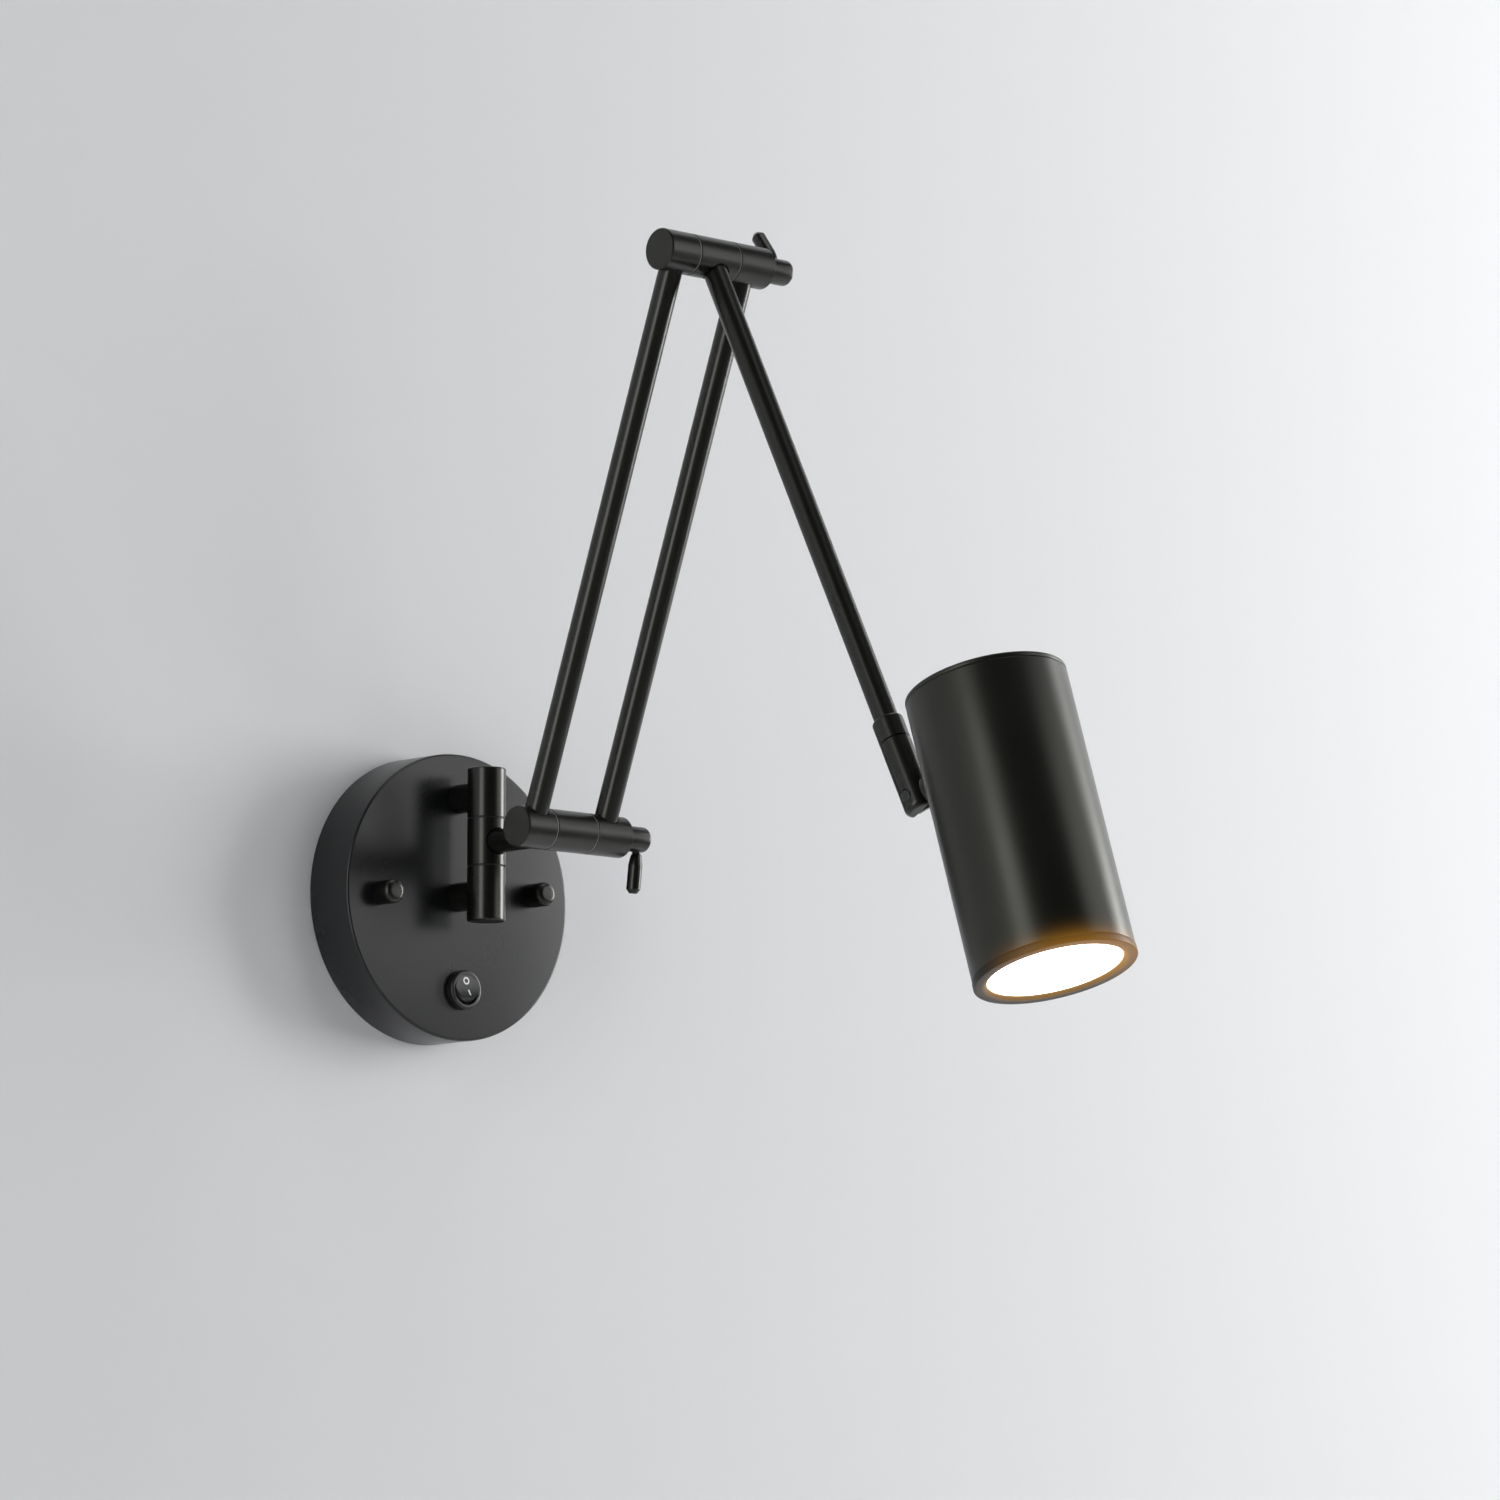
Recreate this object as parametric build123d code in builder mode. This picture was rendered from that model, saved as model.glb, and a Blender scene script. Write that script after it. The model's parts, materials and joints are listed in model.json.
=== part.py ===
"""Articulating wall lamp: a round canopy with a rocker switch, a swivelling three-part barrel,
a twin-rod lower arm, a single-tube forearm and a cylindrical spot head on a swivel knuckle.

Frame, in millimetres: +X to the right as you face the wall, +Y into the wall, +Z up.
The origin is the centre of the canopy's back, on the wall.
"""
from build123d import *
from math import asin, cos, degrees, radians, sin
import os

# --- Canopy on the wall ---------------------------------------------------------------------
CANOPY_DIA = 120.0
CANOPY_DEPTH = 24.2
CANOPY_WALL = 1.2
CANOPY_EDGE = 1.0          # outside radius of the front edge
CANOPY_CORNER = 0.4        # inside radius of the same edge
FIXING_TURN = 3.6          # the fixing holes and the switch stand turned this much, as pictured
FIXING_RADIUS = 41.5       # each cap nut from the middle between them
FIXING_SHIFT = (-1.0, 1.2)  # that middle from the canopy's centre, as pictured
STUD_DIA = 4.0
CAP_NUT_DIA = 10.0
CAP_NUT_SHANK = 5.9        # straight length under the dome
CAP_NUT_HOLE = 6.5
STUD_HOLE_DIA = 4.6

# --- Wall bracket behind the canopy ----------------------------------------------------------
BRACKET_LENGTH = 98.0
BRACKET_WIDTH = 20.0
BRACKET_THICK = 1.6
WALL_HOLE_DIA = 4.5
WALL_HOLE_PITCH = 60.0
CABLE_HOLE_DIA = 16.0

# --- Swivel barrel and its posts ---------------------------------------------------------------
BARREL_REACH = 41.7        # barrel axis from the wall
BARREL_HEIGHT = 21.3       # middle of the turning length above the canopy's centre
BARREL_DIA = 16.0
BARREL_SEGMENT = 19.6
UPPER_SEGMENT = 20.9
LOWER_SEGMENT = 22.7
SEAM = 0.4                 # gap between turning segments, filled by a thin washer
WASHER_THICK = 0.3
POST_DIA = 12.0
UPPER_POST = 19.8          # each post above the middle of the turning length
LOWER_POST = -21.4
POST_STUD_DIA = 8.0
POST_STUD_LENGTH = 8.0
PIN_DIA = 6.0
RUNNING = 0.08             # radial clearance of a turning fit
PIN_ENGAGEMENT = 14.0

# --- Hubs and arms ------------------------------------------------------------------------------
STUB_LENGTH = 50.4         # barrel axis to lower hub axis
HUB_DIA = 17.0
CENTRE_LEFT = -11.8        # ends of the turning length, to the right of the arm's plane
CENTRE_RIGHT = 9.8
HUB_LEFT = -27.7           # ends of the whole hub
HUB_RIGHT = 29.3
TUBE_DIA = 9.8
TUBE_WALL = 1.0
SOCKET_FLOOR = 4.6         # a tube stops this far from the hub's axis
SOCKET_BEVEL = 0.8
ROD_PITCH = 38.0
LOWER_ARM = 241.3          # hub axis to hub axis
LOWER_LEAN = 20.75         # degrees forward of straight up
FOREARM = 259.4            # upper hub axis to the knuckle's pivot
FOREARM_LEAN = 27.0        # degrees forward of straight down

# --- Clamp levers --------------------------------------------------------------------------------
KNOB_DIA = 10.6
KNOB_LENGTH = 13.2
KNOB_GAP = 0.12
KNOB_BORE = 6.4
LEVER_OFFSET = 9.5         # lever axis from the hub's end face
LEVER_REACH = 22.4         # lever tip from the hub's axis
LEVER_DIA = 5.9
LEVER_NECK = 3.6
LOWER_LEVER_ANGLE = -97.0  # degrees above straight forward, in the arm's plane
UPPER_LEVER_ANGLE = 127.0

# --- Knuckle ---------------------------------------------------------------------------------------
KNUCKLE_DIA = 12.6
COLLAR_TOP = 223.7         # along the forearm from the upper hub's axis
COLLAR_LENGTH = 10.0
COLLAR_FLOOR = 3.0
SWIVEL_SCREW_DIA = 5.0
SWIVEL_HEAD_DIA = 7.0
SWIVEL_HEAD = 3.0
SWIVEL_GRIP = 7.5
SWIVEL_GAP = 0.3
LAP_GAP = 0.1              # each half of the lap stands this far from the middle plane
LAP_CLEARANCE = 0.25
KNUCKLE_ROUND = 2.2        # rounding of the sleeve's lower end
LUG_SHOULDER = 8.3         # the lug's shoulder from the pivot, clear of the sleeve's square end
PIVOT_DIA = 3.5
PIVOT_HEAD_DIA = 5.4
PIVOT_HEAD = 2.2
PIVOT_NUT = 2.2
PIVOT_NUT_FLATS = 6.0
PIVOT_NUT_POCKET = 7.4
LUG_STUD_DIA = 6.0
LUG_NUT = 3.4

# --- Shade and light ----------------------------------------------------------------------------
SHADE_DIA = 63.4
SHADE_LENGTH = 119.1
SHADE_WALL = 1.5
SHADE_LEAN = 17.93         # degrees forward of straight down
SHADE_OFFSET = 48.04       # shade axis from the knuckle's pivot
PIVOT_BELOW_TOP = 26.14    # pivot below the shade's top, along its axis
CAP_THICK = 2.0
BEZEL_HEIGHT = 3.0
BEZEL_OPENING = 52.8
SPIGOT_WALL = 1.6
SPIGOT_LENGTH = 6.0
DIFFUSER_DIA = 55.4
DIFFUSER_THICK = 2.0
BEZEL_LIP = 1.4
REFLECTOR_DEPTH = 26.0
REFLECTOR_WALL = 1.2
REFLECTOR_THROAT = 20.0
BOARD_DIA = 30.0
BOARD_THICK = 1.6
EMITTER_DIA = 14.0
SINK_BASE = 5.0
SINK_DEPTH = 36.0
SINK_CORE = 16.0
SINK_FINS = 14
FIN_THICK = 1.6
FIN_DIA = 54.0

# --- Rocker switch ---------------------------------------------------------------------------------
SWITCH_PLACE = (2.1, -38.7)  # right of and above the canopy's centre, as pictured
SWITCH_TURN = 8.0          # the switch stands turned in its hole, as pictured
SWITCH_FLANGE_DIA = 16.4
SWITCH_FLANGE = 3.3
SWITCH_BODY_DIA = 14.6
SWITCH_BODY_DEPTH = 13.0
SWITCH_WELL_DIA = 12.8
SWITCH_WELL_DEPTH = 8.0
ROCKER_DIA = 12.2
ROCKER_PIN_DIA = 2.0
ROCKER_PIVOT = 0.3         # pivot behind the canopy's face
ROCKER_SKIRT = 2.0
ROCKER_CROWN = 5.0         # the two raised edges above the pivot
ROCKER_HALF = 5.1          # those edges from the middle
ROCKER_DISH = 0.7          # the face is hollowed this much across the middle
ROCKER_TILT = 15.0         # either side of level; as pictured the upper half is pressed in

# --- Inside the canopy -------------------------------------------------------------------------------
DRIVER_SIZE = (26.0, 30.0, 11.2)
DRIVER_CENTRE = (25.0, 27.0)
TERMINAL_SIZE = (28.0, 12.0, 9.7)
TERMINAL_CENTRE = (-27.0, 24.0)
EARTH_PLACE = 17.0

# --- Worked-out places ---------------------------------------------------------------------------------
CANOPY_R = CANOPY_DIA / 2
FIXING_PLACES = [
    (FIXING_SHIFT[0] - FIXING_RADIUS, FIXING_SHIFT[1]),
    (FIXING_SHIFT[0] + FIXING_RADIUS, FIXING_SHIFT[1]),
]
BARREL_R = BARREL_DIA / 2
HUB_R = HUB_DIA / 2
TUBE_R = TUBE_DIA / 2
TUBE_BORE = TUBE_R - TUBE_WALL
KNUCKLE_R = KNUCKLE_DIA / 2
SHADE_R = SHADE_DIA / 2
SHADE_BORE = SHADE_R - SHADE_WALL

FORWARD = Vector(0, -1, 0)
UP = Vector(0, 0, 1)
ACROSS = Vector(1, 0, 0)


def in_arm_plane(angle):
    """Unit vector in the arm's plane, `angle` degrees above straight forward."""
    return FORWARD * cos(radians(angle)) + UP * sin(radians(angle))


BARREL_MIDDLE = Vector(0, -BARREL_REACH, BARREL_HEIGHT)
LOWER_HUB = BARREL_MIDDLE + FORWARD * STUB_LENGTH
LOWER_ARM_DIR = in_arm_plane(90 - LOWER_LEAN)
UPPER_HUB = LOWER_HUB + LOWER_ARM_DIR * LOWER_ARM
FOREARM_DIR = in_arm_plane(FOREARM_LEAN - 90)
KNUCKLE = UPPER_HUB + FOREARM_DIR * FOREARM
SHADE_DIR = in_arm_plane(SHADE_LEAN - 90)
LUG_DIR = in_arm_plane(SHADE_LEAN)
SHADE_TOP = KNUCKLE + LUG_DIR * SHADE_OFFSET - SHADE_DIR * PIVOT_BELOW_TOP
TURN_X = Vector(cos(radians(FIXING_TURN)), 0, sin(radians(FIXING_TURN)))
SWITCH_CENTRE = Vector(SWITCH_PLACE[0], 0, SWITCH_PLACE[1])
SWITCH_X = Vector(cos(radians(SWITCH_TURN)), 0, sin(radians(SWITCH_TURN)))


def wall_plane(distance):
    """Plane facing away from the wall, `distance` in front of it: local x right, local y up."""
    return Plane(origin=(0, -distance, 0), x_dir=(1, 0, 0), z_dir=(0, -1, 0))


def fixing_plane(distance):
    """The same, turned with the fixing holes."""
    return Plane(origin=(0, -distance, 0), x_dir=TURN_X, z_dir=(0, -1, 0))


def switch_plane(distance):
    """Plane square to the switch, `distance` in front of the wall, turned with the switch."""
    origin = SWITCH_CENTRE + FORWARD * distance
    return Plane(origin=origin, x_dir=SWITCH_X, z_dir=(0, -1, 0))


def level_plane(height):
    """Plane across the barrel's axis at a height above its middle."""
    return Plane(origin=BARREL_MIDDLE + UP * height, x_dir=(1, 0, 0), z_dir=(0, 0, 1))


def hub_plane(hub, across):
    """Plane across a hub's axis, `across` to the right of the arm's plane, facing right."""
    return Plane(origin=hub + ACROSS * across, x_dir=(0, -1, 0), z_dir=(1, 0, 0))


def along(start, direction, distance=0.0):
    """Plane square to a direction in the arm's plane, `distance` along it, local x across."""
    return Plane(origin=start + direction * distance, x_dir=(1, 0, 0), z_dir=direction)


def shade_profile_plane():
    """Plane through the shade's axis: local x is the radius, local y runs down the shade."""
    return Plane(origin=SHADE_TOP, x_dir=LUG_DIR, z_dir=ACROSS)


def is_saddle(edge):
    """True for the curved edge where a round socket breaks out of a round bar."""
    return edge.geom_type not in (GeomType.LINE, GeomType.CIRCLE)


os.makedirs("parts", exist_ok=True)

# =============================== wall bracket and canopy ======================================

with BuildPart() as mounting_bracket:
    with BuildSketch(fixing_plane(0)):
        RectangleRounded(BRACKET_LENGTH, BRACKET_WIDTH, 4)
        Circle(CABLE_HOLE_DIA / 2, mode=Mode.SUBTRACT)
        with Locations((-WALL_HOLE_PITCH / 2, 0), (WALL_HOLE_PITCH / 2, 0)):
            Circle(WALL_HOLE_DIA / 2, mode=Mode.SUBTRACT)
        with Locations(*FIXING_PLACES):
            Circle(STUD_DIA / 2, mode=Mode.SUBTRACT)
        with Locations((-EARTH_PLACE, 0)):
            SlotOverall(9, WALL_HOLE_DIA, rotation=90, mode=Mode.SUBTRACT)
        with Locations((EARTH_PLACE, 0)):
            Circle(STUD_DIA / 2, mode=Mode.SUBTRACT)
    extrude(amount=BRACKET_THICK)
mounting_bracket.part.label = "mounting_bracket"
export_step(mounting_bracket.part, "parts/mounting_bracket.step")

with BuildPart() as canopy_studs:
    with BuildSketch(fixing_plane(0)):
        with Locations(*FIXING_PLACES):
            Circle(STUD_DIA / 2)
    extrude(amount=CANOPY_DEPTH + CAP_NUT_HOLE - 0.4)
canopy_studs.part.label = "canopy_studs"
export_step(canopy_studs.part, "parts/canopy_studs.step")

with BuildPart() as stud_nuts:
    with BuildSketch(fixing_plane(BRACKET_THICK)):
        with Locations(*FIXING_PLACES):
            RegularPolygon(3.5, 6, major_radius=False)
            Circle(STUD_DIA / 2, mode=Mode.SUBTRACT)
    extrude(amount=3.2)
stud_nuts.part.label = "stud_nuts"
export_step(stud_nuts.part, "parts/stud_nuts.step")

with BuildPart() as earth_screw:
    with BuildSketch(fixing_plane(0.2)) as earth_shank:
        with Locations((EARTH_PLACE, 0)):
            Circle(STUD_DIA / 2)
    extrude(amount=BRACKET_THICK - 0.2)
    with BuildSketch(fixing_plane(BRACKET_THICK)):
        with Locations((EARTH_PLACE, 0)):
            Circle(3.9)
    extrude(amount=2.6)
    fillet(earth_screw.edges().group_by(Axis.Y)[0], 1.0)
    with BuildSketch(fixing_plane(BRACKET_THICK + 1.4)):
        with Locations((EARTH_PLACE, 0)):
            Rectangle(9, 1.0)
    extrude(amount=2, mode=Mode.SUBTRACT)
earth_screw.part.label = "earth_screw"
export_step(earth_screw.part, "parts/earth_screw.step")

with BuildPart() as canopy:
    with BuildSketch(Plane.XY) as canopy_profile:
        with BuildLine():
            inner = CANOPY_R - CANOPY_WALL
            FilletPolyline(
                (0, -CANOPY_DEPTH), (CANOPY_R, -CANOPY_DEPTH), (CANOPY_R, 0), radius=CANOPY_EDGE
            )
            Line((CANOPY_R, 0), (inner, 0))
            FilletPolyline(
                (inner, 0), (inner, CANOPY_WALL - CANOPY_DEPTH), (0, CANOPY_WALL - CANOPY_DEPTH),
                radius=CANOPY_CORNER,
            )
            Line((0, CANOPY_WALL - CANOPY_DEPTH), (0, -CANOPY_DEPTH))
        make_face()
    revolve(axis=Axis.Y)
    with BuildSketch(fixing_plane(0)):
        with Locations(*FIXING_PLACES):
            Circle(STUD_HOLE_DIA / 2)
    with BuildSketch(wall_plane(0)):
        with Locations((0, BARREL_HEIGHT + UPPER_POST), (0, BARREL_HEIGHT + LOWER_POST)):
            Circle(POST_STUD_DIA / 2)
    with BuildSketch(switch_plane(0)):
        Circle(SWITCH_BODY_DIA / 2)
    extrude(amount=CANOPY_DEPTH + 1, mode=Mode.SUBTRACT)
canopy.part.label = "canopy"
export_step(canopy.part, "parts/canopy.step")

with BuildPart() as cap_nuts:
    with BuildSketch(fixing_plane(CANOPY_DEPTH)):
        with Locations(*FIXING_PLACES):
            Circle(CAP_NUT_DIA / 2)
    extrude(amount=CAP_NUT_SHANK + CAP_NUT_DIA / 2)
    fillet(cap_nuts.edges().group_by(Axis.Y)[0], CAP_NUT_DIA / 2 - 0.2)
    chamfer(cap_nuts.edges().group_by(Axis.Y)[-1], 0.3)
    with BuildSketch(fixing_plane(CANOPY_DEPTH)):
        with Locations(*FIXING_PLACES):
            Circle(STUD_DIA / 2)
    extrude(amount=CAP_NUT_HOLE, mode=Mode.SUBTRACT)
cap_nuts.part.label = "cap_nuts"
export_step(cap_nuts.part, "parts/cap_nuts.step")

with BuildPart() as led_driver:
    with BuildSketch(wall_plane(CANOPY_DEPTH - CANOPY_WALL - DRIVER_SIZE[2])):
        with Locations(DRIVER_CENTRE):
            RectangleRounded(DRIVER_SIZE[0], DRIVER_SIZE[1], 2)
    extrude(amount=DRIVER_SIZE[2])
    fillet(led_driver.edges().group_by(Axis.Y)[-1], 1.2)
led_driver.part.label = "led_driver"
export_step(led_driver.part, "parts/led_driver.step")

with BuildPart() as terminal_block:
    with BuildSketch(wall_plane(CANOPY_DEPTH - CANOPY_WALL - TERMINAL_SIZE[2])):
        with Locations(TERMINAL_CENTRE):
            with GridLocations(TERMINAL_SIZE[0] / 3, 0, 3, 1):
                RectangleRounded(TERMINAL_SIZE[0] / 3 - 1.2, TERMINAL_SIZE[1], 1)
            Rectangle(TERMINAL_SIZE[0] - 2, TERMINAL_SIZE[1] - 5)
    extrude(amount=TERMINAL_SIZE[2])
    with BuildSketch(wall_plane(CANOPY_DEPTH - CANOPY_WALL - TERMINAL_SIZE[2])):
        with Locations(TERMINAL_CENTRE):
            with GridLocations(TERMINAL_SIZE[0] / 3, 5, 3, 2):
                Circle(1.7)
    extrude(amount=5, mode=Mode.SUBTRACT)
terminal_block.part.label = "terminal_block"
export_step(terminal_block.part, "parts/terminal_block.step")

# =============================== rocker switch =====================================================

with BuildPart() as switch_body:
    with BuildSketch(switch_plane(CANOPY_DEPTH)):
        Circle(SWITCH_FLANGE_DIA / 2)
    extrude(amount=SWITCH_FLANGE)
    fillet(switch_body.edges().group_by(Axis.Y)[0], 1.0)
    with BuildSketch(switch_plane(CANOPY_DEPTH - SWITCH_BODY_DEPTH)):
        Circle(SWITCH_BODY_DIA / 2)
    extrude(amount=SWITCH_BODY_DEPTH)
    with BuildSketch(switch_plane(CANOPY_DEPTH + SWITCH_FLANGE - SWITCH_WELL_DEPTH)):
        Circle(SWITCH_WELL_DIA / 2)
    extrude(amount=SWITCH_WELL_DEPTH, mode=Mode.SUBTRACT)
    with BuildSketch(
        Plane(
            origin=SWITCH_CENTRE + FORWARD * (CANOPY_DEPTH - ROCKER_PIVOT),
            x_dir=(0, -1, 0),
            z_dir=SWITCH_X,
        )
    ):
        Circle(ROCKER_PIN_DIA / 2)
    extrude(amount=SWITCH_BODY_DIA / 2, both=True, mode=Mode.SUBTRACT)
switch_body.part.label = "switch_body"
export_step(switch_body.part, "parts/switch_body.step")

with BuildPart() as switch_terminals:
    with BuildSketch(switch_plane(CANOPY_DEPTH - SWITCH_BODY_DEPTH - 7.5)):
        with Locations((0, 4), (0, -4)):
            Rectangle(4.8, 0.8)
    extrude(amount=7.5)
switch_terminals.part.label = "switch_terminals"
export_step(switch_terminals.part, "parts/switch_terminals.step")

ROCKER_AXIS = Axis(SWITCH_CENTRE + FORWARD * (CANOPY_DEPTH - ROCKER_PIVOT), SWITCH_X)
SWITCH_UP = SWITCH_X.cross(FORWARD) * -1
ROCKER_PLANE = Plane(
    origin=ROCKER_AXIS.position,
    x_dir=SWITCH_X,
    z_dir=FORWARD * cos(radians(ROCKER_TILT)) + SWITCH_UP * sin(radians(ROCKER_TILT)),
)

with BuildPart() as rocker_pin:
    with BuildSketch(Plane(origin=ROCKER_AXIS.position, x_dir=(0, -1, 0), z_dir=SWITCH_X)):
        Circle(ROCKER_PIN_DIA / 2)
    extrude(amount=SWITCH_BODY_DIA / 2 - 0.1, both=True)
rocker_pin.part.label = "rocker_pin"
export_step(rocker_pin.part, "parts/rocker_pin.step")

rocker_side = Plane(
    origin=ROCKER_PLANE.origin, x_dir=ROCKER_PLANE.y_dir, z_dir=ROCKER_PLANE.x_dir
)

with BuildPart() as switch_rocker:
    with BuildSketch(ROCKER_PLANE.offset(-ROCKER_SKIRT)):
        Circle(ROCKER_DIA / 2)
    extrude(amount=ROCKER_SKIRT + ROCKER_CROWN)
    with BuildSketch(rocker_side):
        with BuildLine():
            Polyline(
                (ROCKER_HALF, ROCKER_CROWN), (6.1, 1.3), (6.1, 0.3), (5.6, -ROCKER_SKIRT),
                (-5.6, -ROCKER_SKIRT), (-6.1, 0.3), (-6.1, 1.3), (-ROCKER_HALF, ROCKER_CROWN),
            )
            ThreePointArc(
                (-ROCKER_HALF, ROCKER_CROWN), (0, ROCKER_CROWN - ROCKER_DISH),
                (ROCKER_HALF, ROCKER_CROWN),
            )
        make_face()
    extrude(amount=ROCKER_DIA, both=True, mode=Mode.INTERSECT)
    # Cut back to what clears the well's wall at both ends of the rocker's travel.
    for lean in (0, 2 * ROCKER_TILT):
        well_dir = FORWARD * cos(radians(lean)) + SWITCH_UP * sin(radians(lean))
        with BuildSketch(Plane(origin=ROCKER_PLANE.origin, x_dir=SWITCH_X, z_dir=well_dir)):
            Circle(SWITCH_WELL_DIA / 2 - 0.1)
        extrude(amount=ROCKER_DIA, both=True, mode=Mode.INTERSECT)
    with BuildSketch(rocker_side):
        Circle(ROCKER_PIN_DIA / 2 + RUNNING)
    extrude(amount=ROCKER_DIA, both=True, mode=Mode.SUBTRACT)
switch_rocker.part.label = "switch_rocker"
export_step(switch_rocker.part, "parts/switch_rocker.step")

# =============================== posts, barrel and stub ============================================

POST_END = BARREL_REACH - SOCKET_FLOOR

for place, height in (("upper", UPPER_POST), ("lower", LOWER_POST)):
    post_foot = Plane(origin=BARREL_MIDDLE + UP * height, x_dir=(1, 0, 0), z_dir=(0, -1, 0))
    with BuildPart() as post:
        with BuildSketch(post_foot.offset(CANOPY_DEPTH - BARREL_REACH)):
            Circle(POST_DIA / 2)
        extrude(amount=POST_END - CANOPY_DEPTH)
        chamfer(post.edges().group_by(Axis.Y)[-1], 0.4)
        with BuildSketch(
            post_foot.offset(CANOPY_DEPTH - CANOPY_WALL - POST_STUD_LENGTH - BARREL_REACH)
        ):
            Circle(POST_STUD_DIA / 2)
        extrude(amount=POST_STUD_LENGTH + CANOPY_WALL + 1)
        chamfer(post.edges().group_by(Axis.Y)[-1], 0.6)
    post.part.label = f"{place}_post"
    export_step(post.part, f"parts/{place}_post.step")

with BuildPart() as post_nuts:
    with BuildSketch(wall_plane(CANOPY_DEPTH - CANOPY_WALL - 1)):
        with Locations((0, BARREL_HEIGHT + UPPER_POST), (0, BARREL_HEIGHT + LOWER_POST)):
            Circle(8)
            Circle(POST_STUD_DIA / 2, mode=Mode.SUBTRACT)
    extrude(amount=1)
    with BuildSketch(wall_plane(CANOPY_DEPTH - CANOPY_WALL - 5)):
        with Locations((0, BARREL_HEIGHT + UPPER_POST), (0, BARREL_HEIGHT + LOWER_POST)):
            RegularPolygon(6.5, 6, major_radius=False)
            Circle(POST_STUD_DIA / 2, mode=Mode.SUBTRACT)
    extrude(amount=4)
post_nuts.part.label = "post_nuts"
export_step(post_nuts.part, "parts/post_nuts.step")

for place, side, length, height in (
    ("upper", 1, UPPER_SEGMENT, UPPER_POST), ("lower", -1, LOWER_SEGMENT, LOWER_POST),
):
    near = side * (BARREL_SEGMENT / 2 + SEAM)
    with BuildPart() as barrel_end:
        with BuildSketch(level_plane(near)):
            Circle(BARREL_R)
        extrude(amount=side * length)
        outer_face = barrel_end.edges().filter_by(GeomType.CIRCLE).group_by(Axis.Z)
        fillet(outer_face[-1 if side > 0 else 0], 0.8)
        chamfer(barrel_end.edges().filter_by(GeomType.CIRCLE).group_by(Axis.Z)[
            0 if side > 0 else -1], 0.25)
        with BuildSketch(
            Plane(origin=BARREL_MIDDLE + UP * height, x_dir=(1, 0, 0),
                  z_dir=(0, 1, 0)).offset(SOCKET_FLOOR)
        ):
            Circle(POST_DIA / 2)
        extrude(amount=BARREL_R, mode=Mode.SUBTRACT)
        with BuildSketch(level_plane(near)):
            Circle(PIN_DIA / 2)
        extrude(amount=side * PIN_ENGAGEMENT, mode=Mode.SUBTRACT)
    barrel_end.part.label = f"{place}_barrel"
    export_step(barrel_end.part, f"parts/{place}_barrel.step")

with BuildPart() as barrel_washers:
    for near in (BARREL_SEGMENT / 2 + SEAM - WASHER_THICK, -BARREL_SEGMENT / 2 - SEAM):
        with BuildSketch(level_plane(near)):
            Circle(BARREL_R - 0.5)
            Circle(PIN_DIA / 2, mode=Mode.SUBTRACT)
        extrude(amount=WASHER_THICK)
barrel_washers.part.label = "barrel_washers"
export_step(barrel_washers.part, "parts/barrel_washers.step")

with BuildPart() as swivel_pin:
    with BuildSketch(level_plane(0)):
        Circle(PIN_DIA / 2)
    extrude(amount=BARREL_SEGMENT / 2 + SEAM + PIN_ENGAGEMENT, both=True)
swivel_pin.part.label = "swivel_pin"
export_step(swivel_pin.part, "parts/swivel_pin.step")

with BuildPart() as swivel_barrel:
    with BuildSketch(level_plane(-BARREL_SEGMENT / 2)):
        Circle(BARREL_R)
    extrude(amount=BARREL_SEGMENT)
    chamfer(swivel_barrel.edges().filter_by(GeomType.CIRCLE), 0.25)
    with BuildSketch(along(BARREL_MIDDLE, FORWARD, SOCKET_FLOOR)):
        Circle(TUBE_R)
    extrude(amount=BARREL_R, mode=Mode.SUBTRACT)
    chamfer(swivel_barrel.edges().filter_by(is_saddle), SOCKET_BEVEL)
    with BuildSketch(level_plane(-BARREL_SEGMENT)):
        Circle(PIN_DIA / 2 + RUNNING)
    extrude(amount=2 * BARREL_SEGMENT, mode=Mode.SUBTRACT)
swivel_barrel.part.label = "swivel_barrel"
export_step(swivel_barrel.part, "parts/swivel_barrel.step")

with BuildPart() as arm_stub:
    with BuildSketch(along(BARREL_MIDDLE, FORWARD, SOCKET_FLOOR)):
        Circle(TUBE_R)
        Circle(TUBE_BORE, mode=Mode.SUBTRACT)
    extrude(amount=STUB_LENGTH - 2 * SOCKET_FLOOR)
arm_stub.part.label = "arm_stub"
export_step(arm_stub.part, "parts/arm_stub.step")

# =============================== hubs, rods and clamp levers ========================================

BLIND_END = 3.0

HUBS = (
    ("lower", LOWER_HUB, FORWARD * -1, LOWER_ARM_DIR, LOWER_LEVER_ANGLE),
    ("upper", UPPER_HUB, FOREARM_DIR, LOWER_ARM_DIR * -1, UPPER_LEVER_ANGLE),
)

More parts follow.
